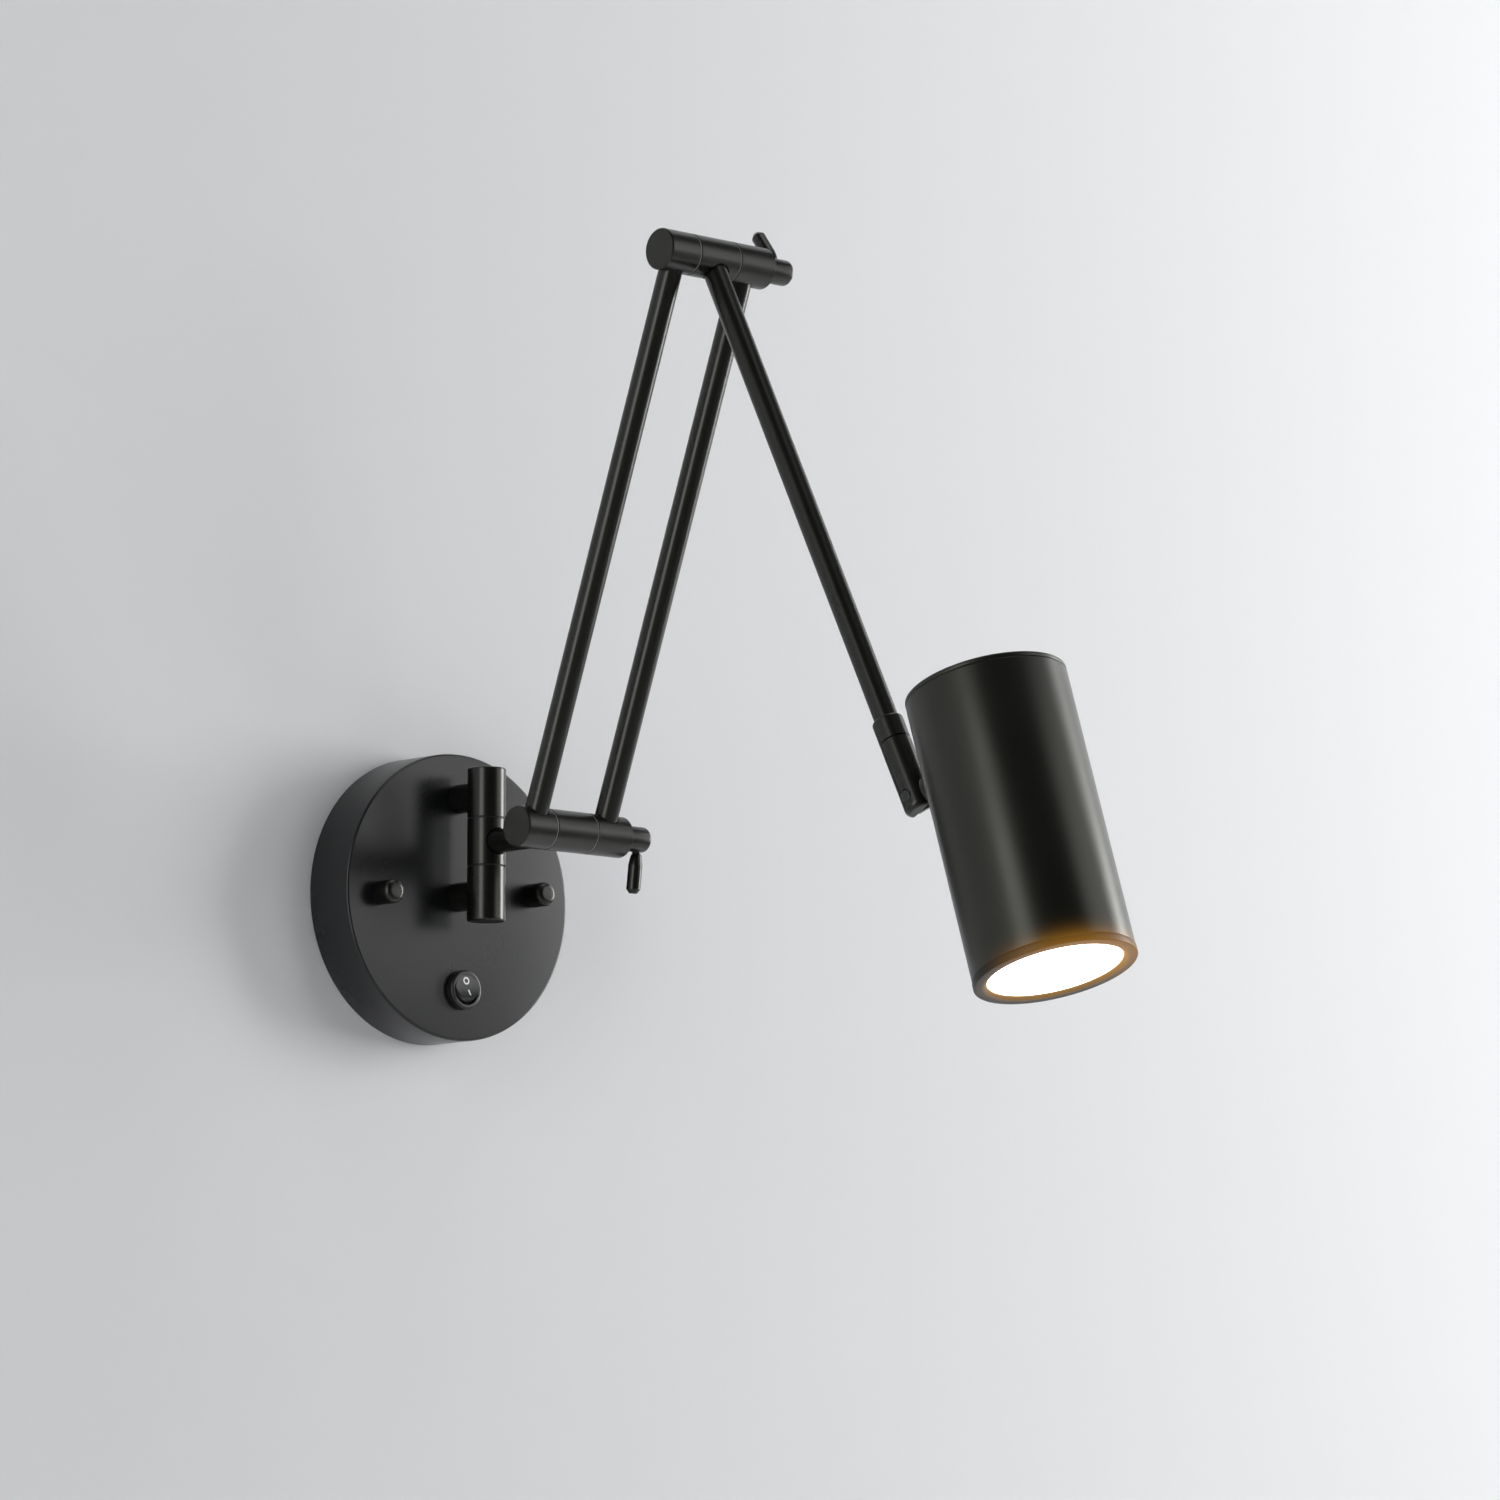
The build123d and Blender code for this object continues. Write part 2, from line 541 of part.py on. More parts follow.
for place, hub, centre_dir, rod_dir, lever_angle in HUBS:
    # The middle length carries the single tube and turns on the clamp bolt.
    with BuildPart() as hub_centre:
        with BuildSketch(hub_plane(hub, CENTRE_LEFT)):
            Circle(HUB_R)
        extrude(amount=CENTRE_RIGHT - CENTRE_LEFT)
        chamfer(hub_centre.edges().filter_by(GeomType.CIRCLE), 0.25)
        with BuildSketch(along(hub, centre_dir, SOCKET_FLOOR)):
            Circle(TUBE_R)
        extrude(amount=HUB_R, mode=Mode.SUBTRACT)
        chamfer(hub_centre.edges().filter_by(is_saddle), SOCKET_BEVEL)
        with BuildSketch(hub_plane(hub, HUB_LEFT)):
            Circle(PIN_DIA / 2 + RUNNING)
        extrude(amount=HUB_RIGHT - HUB_LEFT, mode=Mode.SUBTRACT)
    hub_centre.part.label = f"{place}_hub_centre"
    export_step(hub_centre.part, f"parts/{place}_hub_centre.step")

    # The outer lengths carry the rods. The left one is blind and takes the bolt's thread.
    for hand, side, near, far in (
        ("left", -1, CENTRE_LEFT - SEAM, HUB_LEFT), ("right", 1, CENTRE_RIGHT + SEAM, HUB_RIGHT),
    ):
        with BuildPart() as hub_end:
            with BuildSketch(hub_plane(hub, near)):
                Circle(HUB_R)
            extrude(amount=far - near)
            rims = hub_end.edges().filter_by(GeomType.CIRCLE).group_by(Axis.X)
            chamfer(rims[-1 if side > 0 else 0], 0.5)
            rims = hub_end.edges().filter_by(GeomType.CIRCLE).group_by(Axis.X)
            chamfer(rims[0 if side > 0 else -1], 0.25)
            rod_foot = hub + ACROSS * (side * ROD_PITCH / 2)
            with BuildSketch(along(rod_foot, rod_dir, SOCKET_FLOOR)):
                Circle(TUBE_R)
            extrude(amount=HUB_R, mode=Mode.SUBTRACT)
            chamfer(hub_end.edges().filter_by(is_saddle), SOCKET_BEVEL)
            with BuildSketch(hub_plane(hub, near)):
                Circle(PIN_DIA / 2 + RUNNING)
            extrude(
                amount=far - near + (BLIND_END if side < 0 else 0), mode=Mode.SUBTRACT
            )
        hub_end.part.label = f"{place}_hub_{hand}"
        export_step(hub_end.part, f"parts/{place}_hub_{hand}.step")

    with BuildPart() as hub_washers:
        for near in (CENTRE_RIGHT + SEAM - WASHER_THICK, CENTRE_LEFT - SEAM):
            with BuildSketch(hub_plane(hub, near)):
                Circle(HUB_R - 0.2)
                Circle(PIN_DIA / 2 + RUNNING, mode=Mode.SUBTRACT)
            extrude(amount=WASHER_THICK)
    hub_washers.part.label = f"{place}_hub_washers"
    export_step(hub_washers.part, f"parts/{place}_hub_washers.step")

    # The clamp bolt runs through the hub from the knob on its right-hand end.
    knob_face = HUB_RIGHT + KNOB_GAP
    bolt_tip = HUB_LEFT + BLIND_END + 1
    with BuildPart() as clamp_bolt:
        with BuildSketch(hub_plane(hub, bolt_tip)):
            Circle(PIN_DIA / 2)
        extrude(amount=knob_face + KNOB_BORE - bolt_tip)
        chamfer(clamp_bolt.edges().group_by(Axis.X)[0], 0.6)
    clamp_bolt.part.label = f"{place}_clamp_bolt"
    export_step(clamp_bolt.part, f"parts/{place}_clamp_bolt.step")

    lever_dir = in_arm_plane(lever_angle)
    lever_root = hub + ACROSS * (HUB_RIGHT + LEVER_OFFSET)
    with BuildPart() as clamp_knob:
        with BuildSketch(hub_plane(hub, knob_face)):
            Circle(KNOB_DIA / 2)
        extrude(amount=KNOB_LENGTH - KNOB_GAP)
        fillet(clamp_knob.edges().group_by(Axis.X)[-1], 1.6)
        chamfer(clamp_knob.edges().group_by(Axis.X)[0], 0.4)
        with BuildSketch(hub_plane(hub, knob_face)):
            Circle(PIN_DIA / 2)
        extrude(amount=KNOB_BORE, mode=Mode.SUBTRACT)
        with BuildSketch(along(lever_root, lever_dir)):
            Circle(LEVER_NECK / 2)
        extrude(amount=KNOB_DIA, mode=Mode.SUBTRACT)
    clamp_knob.part.label = f"{place}_clamp_knob"
    export_step(clamp_knob.part, f"parts/{place}_clamp_knob.step")

    # The handle is turned: a short neck at the knob, then a straight grip with a bevelled tip.
    lever_face = Plane(origin=lever_root, x_dir=ACROSS, z_dir=ACROSS.cross(lever_dir))
    with BuildPart() as clamp_lever:
        with BuildSketch(lever_face):
            with BuildLine():
                neck = Polyline(
                    (0, 0), (LEVER_NECK / 2, 0), (LEVER_NECK / 2, KNOB_DIA / 2 + 0.6),
                )
                Spline(
                    neck @ 1, (LEVER_DIA / 2 - 0.35, 8.2), (LEVER_DIA / 2, 10.6),
                    tangents=((0.3, 1), (0, 1)),
                )
                Polyline((LEVER_DIA / 2, 10.6), (LEVER_DIA / 2, 20.6), (LEVER_DIA / 2 - 1.3, LEVER_REACH),
                         (0, LEVER_REACH), (0, 0))
            make_face()
        revolve(axis=Axis(lever_root, lever_dir))
    clamp_lever.part.label = f"{place}_clamp_lever"
    export_step(clamp_lever.part, f"parts/{place}_clamp_lever.step")

for hand, side in (("left", -1), ("right", 1)):
    rod_foot = LOWER_HUB + ACROSS * (side * ROD_PITCH / 2)
    with BuildPart() as rod:
        with BuildSketch(along(rod_foot, LOWER_ARM_DIR, SOCKET_FLOOR)):
            Circle(TUBE_R)
            Circle(TUBE_BORE, mode=Mode.SUBTRACT)
        extrude(amount=LOWER_ARM - 2 * SOCKET_FLOOR)
    rod.part.label = f"rod_{hand}"
    export_step(rod.part, f"parts/rod_{hand}.step")

# =============================== forearm and knuckle ==================================================

COLLAR_END = COLLAR_TOP + COLLAR_LENGTH
TUBE_END = COLLAR_END - COLLAR_FLOOR

with BuildPart() as forearm_tube:
    with BuildSketch(along(UPPER_HUB, FOREARM_DIR, SOCKET_FLOOR)):
        Circle(TUBE_R)
        Circle(TUBE_BORE, mode=Mode.SUBTRACT)
    extrude(amount=TUBE_END - SOCKET_FLOOR)
forearm_tube.part.label = "forearm_tube"
export_step(forearm_tube.part, "parts/forearm_tube.step")

with BuildPart() as knuckle_collar:
    with BuildSketch(along(UPPER_HUB, FOREARM_DIR, COLLAR_TOP)):
        Circle(KNUCKLE_R)
    extrude(amount=COLLAR_LENGTH)
    forearm_axis = Axis(UPPER_HUB, FOREARM_DIR)
    fillet(knuckle_collar.edges().group_by(forearm_axis)[0], 1.2)
    chamfer(knuckle_collar.edges().group_by(forearm_axis)[-1], 0.3)
    with BuildSketch(along(UPPER_HUB, FOREARM_DIR, COLLAR_TOP)):
        Circle(TUBE_R)
    extrude(amount=COLLAR_LENGTH - COLLAR_FLOOR, mode=Mode.SUBTRACT)
    with BuildSketch(along(UPPER_HUB, FOREARM_DIR, COLLAR_TOP)):
        Circle(SWIVEL_SCREW_DIA / 2 + RUNNING)
    extrude(amount=2 * COLLAR_LENGTH, mode=Mode.SUBTRACT)
knuckle_collar.part.label = "knuckle_collar"
export_step(knuckle_collar.part, "parts/knuckle_collar.step")

SLEEVE_TOP = COLLAR_END + SWIVEL_GAP
HEAD_FACE = TUBE_END - 0.1

with BuildPart() as swivel_screw:
    with BuildSketch(along(UPPER_HUB, FOREARM_DIR, HEAD_FACE - SWIVEL_HEAD)):
        Circle(SWIVEL_HEAD_DIA / 2)
    extrude(amount=SWIVEL_HEAD)
    with BuildSketch(along(UPPER_HUB, FOREARM_DIR, HEAD_FACE)):
        Circle(SWIVEL_SCREW_DIA / 2)
    extrude(amount=SLEEVE_TOP + SWIVEL_GRIP - HEAD_FACE)
    with BuildSketch(along(UPPER_HUB, FOREARM_DIR, HEAD_FACE - SWIVEL_HEAD)):
        RegularPolygon(1.5, 6, major_radius=False)
    extrude(amount=1.8, mode=Mode.SUBTRACT)
swivel_screw.part.label = "swivel_screw"
export_step(swivel_screw.part, "parts/swivel_screw.step")

SHOULDER = KNUCKLE_R + LAP_CLEARANCE

# Half of the lap: the sleeve's tongue stays on the left of the arm's plane.
with BuildPart() as knuckle_sleeve:
    with BuildSketch(along(UPPER_HUB, FOREARM_DIR, SLEEVE_TOP)):
        Circle(KNUCKLE_R)
    extrude(amount=FOREARM + KNUCKLE_R - SLEEVE_TOP)
    fillet(knuckle_sleeve.edges().group_by(forearm_axis)[-1], KNUCKLE_ROUND)
    chamfer(knuckle_sleeve.edges().group_by(forearm_axis)[0], 0.3)
    tongue_face = Plane(origin=KNUCKLE + ACROSS * -LAP_GAP, x_dir=FOREARM_DIR, z_dir=ACROSS)
    with BuildSketch(tongue_face):
        with Locations((KNUCKLE_R - SHOULDER / 2, 0)):
            Rectangle(SHOULDER + 2 * KNUCKLE_R, 4 * KNUCKLE_R)
    extrude(amount=2 * KNUCKLE_R, mode=Mode.SUBTRACT)
    with BuildSketch(tongue_face):
        Circle(PIVOT_DIA / 2)
    extrude(amount=-2 * KNUCKLE_R, mode=Mode.SUBTRACT)
    with BuildSketch(tongue_face.offset(-(KNUCKLE_R - LAP_GAP - PIVOT_HEAD))):
        Circle(PIVOT_HEAD_DIA / 2)
    extrude(amount=-2 * KNUCKLE_R, mode=Mode.SUBTRACT)
    with BuildSketch(along(UPPER_HUB, FOREARM_DIR, SLEEVE_TOP)):
        Circle(SWIVEL_SCREW_DIA / 2)
    extrude(amount=SWIVEL_GRIP, mode=Mode.SUBTRACT)
knuckle_sleeve.part.label = "knuckle_sleeve"
export_step(knuckle_sleeve.part, "parts/knuckle_sleeve.step")

# The pivot screw is held by the tongue, and the lug turns on it.
with BuildPart() as pivot_screw:
    with BuildSketch(Plane(origin=KNUCKLE - ACROSS * (KNUCKLE_R - PIVOT_HEAD), x_dir=(0, -1, 0),
                           z_dir=(1, 0, 0))):
        Circle(PIVOT_DIA / 2)
    extrude(amount=2 * KNUCKLE_R - PIVOT_HEAD - 0.3)
    with BuildSketch(Plane(origin=KNUCKLE - ACROSS * (KNUCKLE_R - PIVOT_HEAD), x_dir=(0, -1, 0),
                           z_dir=(-1, 0, 0))):
        Circle(PIVOT_HEAD_DIA / 2 - 0.1)
    extrude(amount=PIVOT_HEAD + 0.1)
    fillet(pivot_screw.edges().group_by(Axis.X)[0], 0.8)
pivot_screw.part.label = "pivot_screw"
export_step(pivot_screw.part, "parts/pivot_screw.step")

NUT_FACE = KNUCKLE_R - PIVOT_NUT - 0.3

with BuildPart() as pivot_nut:
    with BuildSketch(Plane(origin=KNUCKLE + ACROSS * NUT_FACE, x_dir=(0, -1, 0),
                           z_dir=(1, 0, 0))):
        RegularPolygon(PIVOT_NUT_FLATS / 2, 6, major_radius=False)
        Circle(PIVOT_DIA / 2, mode=Mode.SUBTRACT)
    extrude(amount=PIVOT_NUT)
pivot_nut.part.label = "pivot_nut"
export_step(pivot_nut.part, "parts/pivot_nut.step")

LUG_LENGTH = SHADE_OFFSET - SHADE_R
LUG_R = KNUCKLE_R - 0.1

with BuildPart() as shade_lug:
    with BuildSketch(along(KNUCKLE, LUG_DIR, -LUG_R)):
        Circle(LUG_R)
    extrude(amount=LUG_R + LUG_LENGTH + 1)
    lug_face = Plane(origin=KNUCKLE + ACROSS * LAP_GAP, x_dir=LUG_DIR, z_dir=ACROSS)
    with BuildSketch(lug_face):
        with Locations((LUG_SHOULDER / 2 - LUG_R / 2, 0)):
            Rectangle(LUG_SHOULDER + LUG_R, 4 * KNUCKLE_R)
    extrude(amount=-2 * KNUCKLE_R, mode=Mode.SUBTRACT)
    with BuildSketch(lug_face):
        with Locations((-KNUCKLE_R, 0)):
            Rectangle(2 * KNUCKLE_R, 4 * KNUCKLE_R)
        Circle(LUG_R, mode=Mode.SUBTRACT)
    extrude(amount=2 * KNUCKLE_R, mode=Mode.SUBTRACT)
    with BuildSketch(lug_face):
        Circle(PIVOT_DIA / 2 + RUNNING)
    extrude(amount=2 * KNUCKLE_R, mode=Mode.SUBTRACT)
    with BuildSketch(lug_face.offset(NUT_FACE - LAP_GAP - 0.1)):
        Circle(PIVOT_NUT_POCKET / 2)
    extrude(amount=2 * KNUCKLE_R, mode=Mode.SUBTRACT)
    with BuildSketch(Plane(origin=SHADE_TOP, x_dir=(1, 0, 0), z_dir=SHADE_DIR)):
        Circle(SHADE_R)
    extrude(amount=SHADE_LENGTH, mode=Mode.SUBTRACT)
    with BuildSketch(along(KNUCKLE, LUG_DIR, LUG_LENGTH - 2)):
        Circle(LUG_STUD_DIA / 2)
    extrude(amount=2 + SHADE_WALL + LUG_NUT + 1)
shade_lug.part.label = "shade_lug"
export_step(shade_lug.part, "parts/shade_lug.step")

with BuildPart() as lug_nut:
    with BuildSketch(Plane(origin=SHADE_TOP, x_dir=(1, 0, 0), z_dir=SHADE_DIR)):
        Circle(SHADE_BORE)
    extrude(amount=2 * PIVOT_BELOW_TOP)
    with BuildSketch(along(KNUCKLE, LUG_DIR, LUG_LENGTH)):
        RegularPolygon(5, 6, major_radius=False)
    extrude(amount=SHADE_WALL + LUG_NUT, mode=Mode.INTERSECT)
    with BuildSketch(along(KNUCKLE, LUG_DIR, LUG_LENGTH)):
        Circle(LUG_STUD_DIA / 2)
    extrude(amount=4 * LUG_NUT, mode=Mode.SUBTRACT)
lug_nut.part.label = "lug_nut"
export_step(lug_nut.part, "parts/lug_nut.step")

# =============================== shade and light ======================================================

SHADE_AXIS = Axis(SHADE_TOP, SHADE_DIR)
PROFILE = shade_profile_plane()
TUBE_BOTTOM = SHADE_LENGTH - BEZEL_HEIGHT
BEZEL_R = SHADE_R + 0.2
LENS_FACE = SHADE_LENGTH - BEZEL_LIP
REFLECTOR_MOUTH = LENS_FACE - DIFFUSER_THICK
REFLECTOR_TOP = REFLECTOR_MOUTH - REFLECTOR_DEPTH
SPIGOT_BORE = SHADE_BORE - SPIGOT_WALL
SINK_FACE = REFLECTOR_TOP - BOARD_THICK

with BuildPart() as shade_tube:
    with BuildSketch(PROFILE):
        with BuildLine():
            Polyline(
                (SHADE_BORE, CAP_THICK), (SHADE_R - 0.4, CAP_THICK), (SHADE_R, CAP_THICK + 0.4),
                (SHADE_R, TUBE_BOTTOM - 0.3), (SHADE_R - 0.3, TUBE_BOTTOM),
                (SHADE_BORE, TUBE_BOTTOM), close=True,
            )
        make_face()
    revolve(axis=SHADE_AXIS)
    with BuildSketch(along(KNUCKLE, LUG_DIR, LUG_LENGTH - 2)):
        Circle(LUG_STUD_DIA / 2)
    extrude(amount=2 + 3 * SHADE_WALL, mode=Mode.SUBTRACT)
shade_tube.part.label = "shade_tube"
export_step(shade_tube.part, "parts/shade_tube.step")

with BuildPart() as shade_cap:
    with BuildSketch(PROFILE):
        with BuildLine():
            Polyline(
                (0, 0), (SHADE_R - 0.6, 0), (SHADE_R, 0.6), (SHADE_R, CAP_THICK - 0.4),
                (SHADE_R - 0.4, CAP_THICK), (SHADE_BORE, CAP_THICK),
                (SHADE_BORE, CAP_THICK + SPIGOT_LENGTH), (SPIGOT_BORE, CAP_THICK + SPIGOT_LENGTH),
                (SPIGOT_BORE, CAP_THICK), (0, CAP_THICK), close=True,
            )
        make_face()
    revolve(axis=SHADE_AXIS)
shade_cap.part.label = "shade_cap"
export_step(shade_cap.part, "parts/shade_cap.step")

with BuildPart() as bezel_ring:
    with BuildSketch(PROFILE):
        with BuildLine():
            Polyline(
                (SHADE_BORE, TUBE_BOTTOM - SPIGOT_LENGTH), (SHADE_BORE, TUBE_BOTTOM),
                (BEZEL_R - 0.3, TUBE_BOTTOM), (BEZEL_R, TUBE_BOTTOM + 0.3),
                (BEZEL_R, SHADE_LENGTH - 0.5), (BEZEL_R - 0.5, SHADE_LENGTH),
                (BEZEL_OPENING / 2 + 1.2, SHADE_LENGTH), (BEZEL_OPENING / 2, SHADE_LENGTH - 1.0),
                (BEZEL_OPENING / 2, LENS_FACE), (SPIGOT_BORE, LENS_FACE),
                (SPIGOT_BORE, TUBE_BOTTOM - SPIGOT_LENGTH), close=True,
            )
        make_face()
    revolve(axis=SHADE_AXIS)
bezel_ring.part.label = "bezel_ring"
export_step(bezel_ring.part, "parts/bezel_ring.step")

with BuildPart() as diffuser:
    with BuildSketch(along(SHADE_TOP, SHADE_DIR, REFLECTOR_MOUTH)):
        Circle(DIFFUSER_DIA / 2)
    extrude(amount=DIFFUSER_THICK)
diffuser.part.label = "diffuser"
export_step(diffuser.part, "parts/diffuser.step")

with BuildPart() as reflector:
    with BuildSketch(PROFILE):
        with BuildLine():
            mouth = DIFFUSER_DIA / 2 - 1.4
            throat = REFLECTOR_THROAT / 2
            inside = Spline(
                (mouth, REFLECTOR_MOUTH), (mouth - 3.4, REFLECTOR_MOUTH - 11),
                (throat, REFLECTOR_TOP), tangents=((-0.12, -1), (-0.9, -1)),
            )
            Line(inside @ 1, (throat + 2.0, REFLECTOR_TOP))
            Spline(
                (throat + 2.0, REFLECTOR_TOP), (mouth - 2.1, REFLECTOR_MOUTH - 11),
                (mouth + 0.6, REFLECTOR_MOUTH - 1.2), tangents=((0.9, 1), (0.12, 1)),
            )
            Polyline(
                (mouth + 0.6, REFLECTOR_MOUTH - 1.2), (DIFFUSER_DIA / 2, REFLECTOR_MOUTH - 1.2),
                (DIFFUSER_DIA / 2, REFLECTOR_MOUTH), (mouth, REFLECTOR_MOUTH),
            )
        make_face()
    revolve(axis=SHADE_AXIS)
reflector.part.label = "reflector"
export_step(reflector.part, "parts/reflector.step")

with BuildPart() as led_board:
    with BuildSketch(along(SHADE_TOP, SHADE_DIR, SINK_FACE)):
        Circle(BOARD_DIA / 2)
        with PolarLocations(BOARD_DIA / 2 - 3.5, 2):
            Circle(1.6, mode=Mode.SUBTRACT)
    extrude(amount=BOARD_THICK)
    with BuildSketch(along(SHADE_TOP, SHADE_DIR, SINK_FACE + BOARD_THICK)):
        Circle(EMITTER_DIA / 2)
    extrude(amount=1.2)
led_board.part.label = "led_board"
export_step(led_board.part, "parts/led_board.step")

# The heat sink: a plate across the tube with radial fins behind it.
with BuildPart() as heat_sink:
    with BuildSketch(along(SHADE_TOP, SHADE_DIR, SINK_FACE - SINK_BASE)):
        Circle(SHADE_BORE)
    extrude(amount=SINK_BASE)
    with BuildSketch(along(SHADE_TOP, SHADE_DIR, SINK_FACE - SINK_BASE - SINK_DEPTH)):
        Circle(SINK_CORE / 2)
        with PolarLocations(FIN_DIA / 4 + SINK_CORE / 8, SINK_FINS):
            Rectangle(FIN_DIA / 2 - SINK_CORE / 4, FIN_THICK)
    extrude(amount=SINK_DEPTH)
heat_sink.part.label = "heat_sink"
export_step(heat_sink.part, "parts/heat_sink.step")
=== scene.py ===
"""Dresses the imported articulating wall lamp: finishes, fine edges, switch marks and studio light.

The lamp hangs on the wall plane y = 0. Sizes in the classes are millimetres and meshes are metres,
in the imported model's frame: +X to the right facing the wall, +Y into the wall and +Z up.
"""

from __future__ import annotations

import json
import logging
import math
from dataclasses import dataclass, field
from enum import Enum
from typing import Any, Sequence

import bmesh
import bpy
from mathutils import Matrix, Vector

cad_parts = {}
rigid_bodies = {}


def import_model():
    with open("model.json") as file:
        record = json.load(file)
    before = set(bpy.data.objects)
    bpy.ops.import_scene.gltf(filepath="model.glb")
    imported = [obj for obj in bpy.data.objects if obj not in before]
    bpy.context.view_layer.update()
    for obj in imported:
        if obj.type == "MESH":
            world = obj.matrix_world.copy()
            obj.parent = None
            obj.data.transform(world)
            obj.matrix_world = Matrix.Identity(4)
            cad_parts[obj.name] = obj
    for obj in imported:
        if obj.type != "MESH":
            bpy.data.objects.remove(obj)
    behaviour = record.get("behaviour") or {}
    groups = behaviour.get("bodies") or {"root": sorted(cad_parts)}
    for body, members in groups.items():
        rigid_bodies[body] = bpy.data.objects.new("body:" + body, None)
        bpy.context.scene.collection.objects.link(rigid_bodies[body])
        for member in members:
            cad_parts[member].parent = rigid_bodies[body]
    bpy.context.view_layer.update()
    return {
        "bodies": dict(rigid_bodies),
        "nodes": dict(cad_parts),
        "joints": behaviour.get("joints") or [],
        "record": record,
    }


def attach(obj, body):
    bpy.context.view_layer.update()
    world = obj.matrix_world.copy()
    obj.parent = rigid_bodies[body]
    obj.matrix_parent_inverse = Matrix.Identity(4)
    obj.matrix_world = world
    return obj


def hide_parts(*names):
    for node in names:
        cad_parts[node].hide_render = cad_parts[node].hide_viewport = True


LOG = logging.getLogger("wall_lamp")
MM = 0.001
TINY = 1e-6
SMOOTH_ANGLE = math.radians(32.0)
ARC_STEPS = 6  # divisions of a rounded corner
SIDE_SHARE = 0.49  # the most of a side that one rounding may take
EASED = 0.3  # rounding of a plain machined edge
FINE = 0.2  # rounding of a hidden edge
TUBE_SIDES = 72

ACROSS = Vector((1.0, 0.0, 0.0))
FORWARD = Vector((0.0, -1.0, 0.0))
UP = Vector((0.0, 0.0, 1.0))

Triple = tuple[float, float, float]
Color = Triple
Profile = Sequence[tuple[float, ...]]
Node = bpy.types.Node
Socket = bpy.types.NodeSocket
Source = Node | Socket


class Place(Enum):
    """Which of the two hubs a piece belongs to."""

    LOWER = "lower"
    UPPER = "upper"


class Body(Enum):
    """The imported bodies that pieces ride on."""

    BASE = "base"
    SWIVEL = "swivel"
    LOWER_ARM = "lower_arm"
    FOREARM = "forearm"
    HEAD = "head"
    ROCKER = "rocker"
    LOWER_CLAMP = "lower_clamp"
    UPPER_CLAMP = "upper_clamp"


def in_arm_plane(angle: float) -> Vector:
    """Gives the direction in the arm's plane that is angle degrees above straight forward."""
    return FORWARD * math.cos(math.radians(angle)) + UP * math.sin(math.radians(angle))


def turned_axes(angle: float) -> tuple[Vector, Vector]:
    """Turns the wall plane's axes.

    Args:
        angle: how far anticlockwise, in degrees.

    Returns:
        The turned right and up.
    """
    turn = math.radians(angle)
    right = Vector((math.cos(turn), 0.0, math.sin(turn)))
    return right, Vector((-math.sin(turn), 0.0, math.cos(turn)))


@dataclass(frozen=True)
class Layout:
    """Where the lamp's axes lie at rest, from the same sizes as the solids."""

    canopy_depth: float = 24.2
    barrel_reach: float = 41.7
    barrel_height: float = 21.3
    stub_length: float = 50.4
    lower_arm: float = 241.3
    lower_lean: float = 20.75
    forearm: float = 259.4
    forearm_lean: float = 27.0
    shade_lean: float = 17.93
    shade_offset: float = 48.04
    pivot_below_top: float = 26.14
    hub_right: float = 29.3
    rod_pitch: float = 38.0
    fixing_turn: float = 3.6
    switch_right: float = 2.1
    switch_drop: float = 38.7
    switch_turn: float = 8.0

    @property
    def barrel(self) -> Vector:
        """Middle of the swivel barrel."""
        return Vector((0.0, -self.barrel_reach, self.barrel_height))

    @property
    def lower_hub(self) -> Vector:
        """Middle of the lower hub."""
        return self.barrel + FORWARD * self.stub_length

    @property
    def lower_direction(self) -> Vector:
        """Direction of the twin rods, upwards."""
        return in_arm_plane(90.0 - self.lower_lean)

    @property
    def upper_hub(self) -> Vector:
        """Middle of the upper hub."""
        return self.lower_hub + self.lower_direction * self.lower_arm

    @property
    def forearm_direction(self) -> Vector:
        """Direction of the forearm, downwards."""
        return in_arm_plane(self.forearm_lean - 90.0)

    @property
    def shade_direction(self) -> Vector:
        """Direction of the shade's axis, towards the light."""
        return in_arm_plane(self.shade_lean - 90.0)

    @property
    def shade_top(self) -> Vector:
        """Middle of the shade's closed end.

        Returns:
            The place in millimetres.
        """
        knuckle = self.upper_hub + self.forearm_direction * self.forearm
        beside = knuckle + in_arm_plane(self.shade_lean) * self.shade_offset
        return beside - self.shade_direction * self.pivot_below_top

    @property
    def switch(self) -> Vector:
        """Middle of the rocker switch, in the wall plane."""
        return Vector((self.switch_right, 0.0, -self.switch_drop))


LAYOUT = Layout()


# ---- meshes


@dataclass(frozen=True)
class Corner:
    """One corner of a turned profile: radius and height from the axis, and its rounding."""

    radius: float
    height: float
    rounding: float = 0.0

    @property
    def point(self) -> Vector:
        """The corner as (radius, height, 0)."""
        return Vector((self.radius, self.height, 0.0))


def axis_matrix(origin: Vector, direction: Vector, side: Vector = ACROSS) -> Matrix:
    """Places a local frame, with Z along a direction.

    Args:
        origin: the frame's origin in millimetres.
        direction: where local Z points.
        side: where local X points, as nearly as Z allows.

    Returns:
        The matrix from local millimetres to metres.
    """
    z_axis = direction.normalized()
    x_axis = side - z_axis * side.dot(z_axis)
    if x_axis.length < TINY:
        x_axis = UP - z_axis * UP.dot(z_axis)
    x_axis.normalize()
    y_axis = z_axis.cross(x_axis)
    turn = Matrix((x_axis, y_axis, z_axis)).transposed().to_4x4()
    return Matrix.Translation(origin * MM) @ turn @ Matrix.Scale(MM, 4)


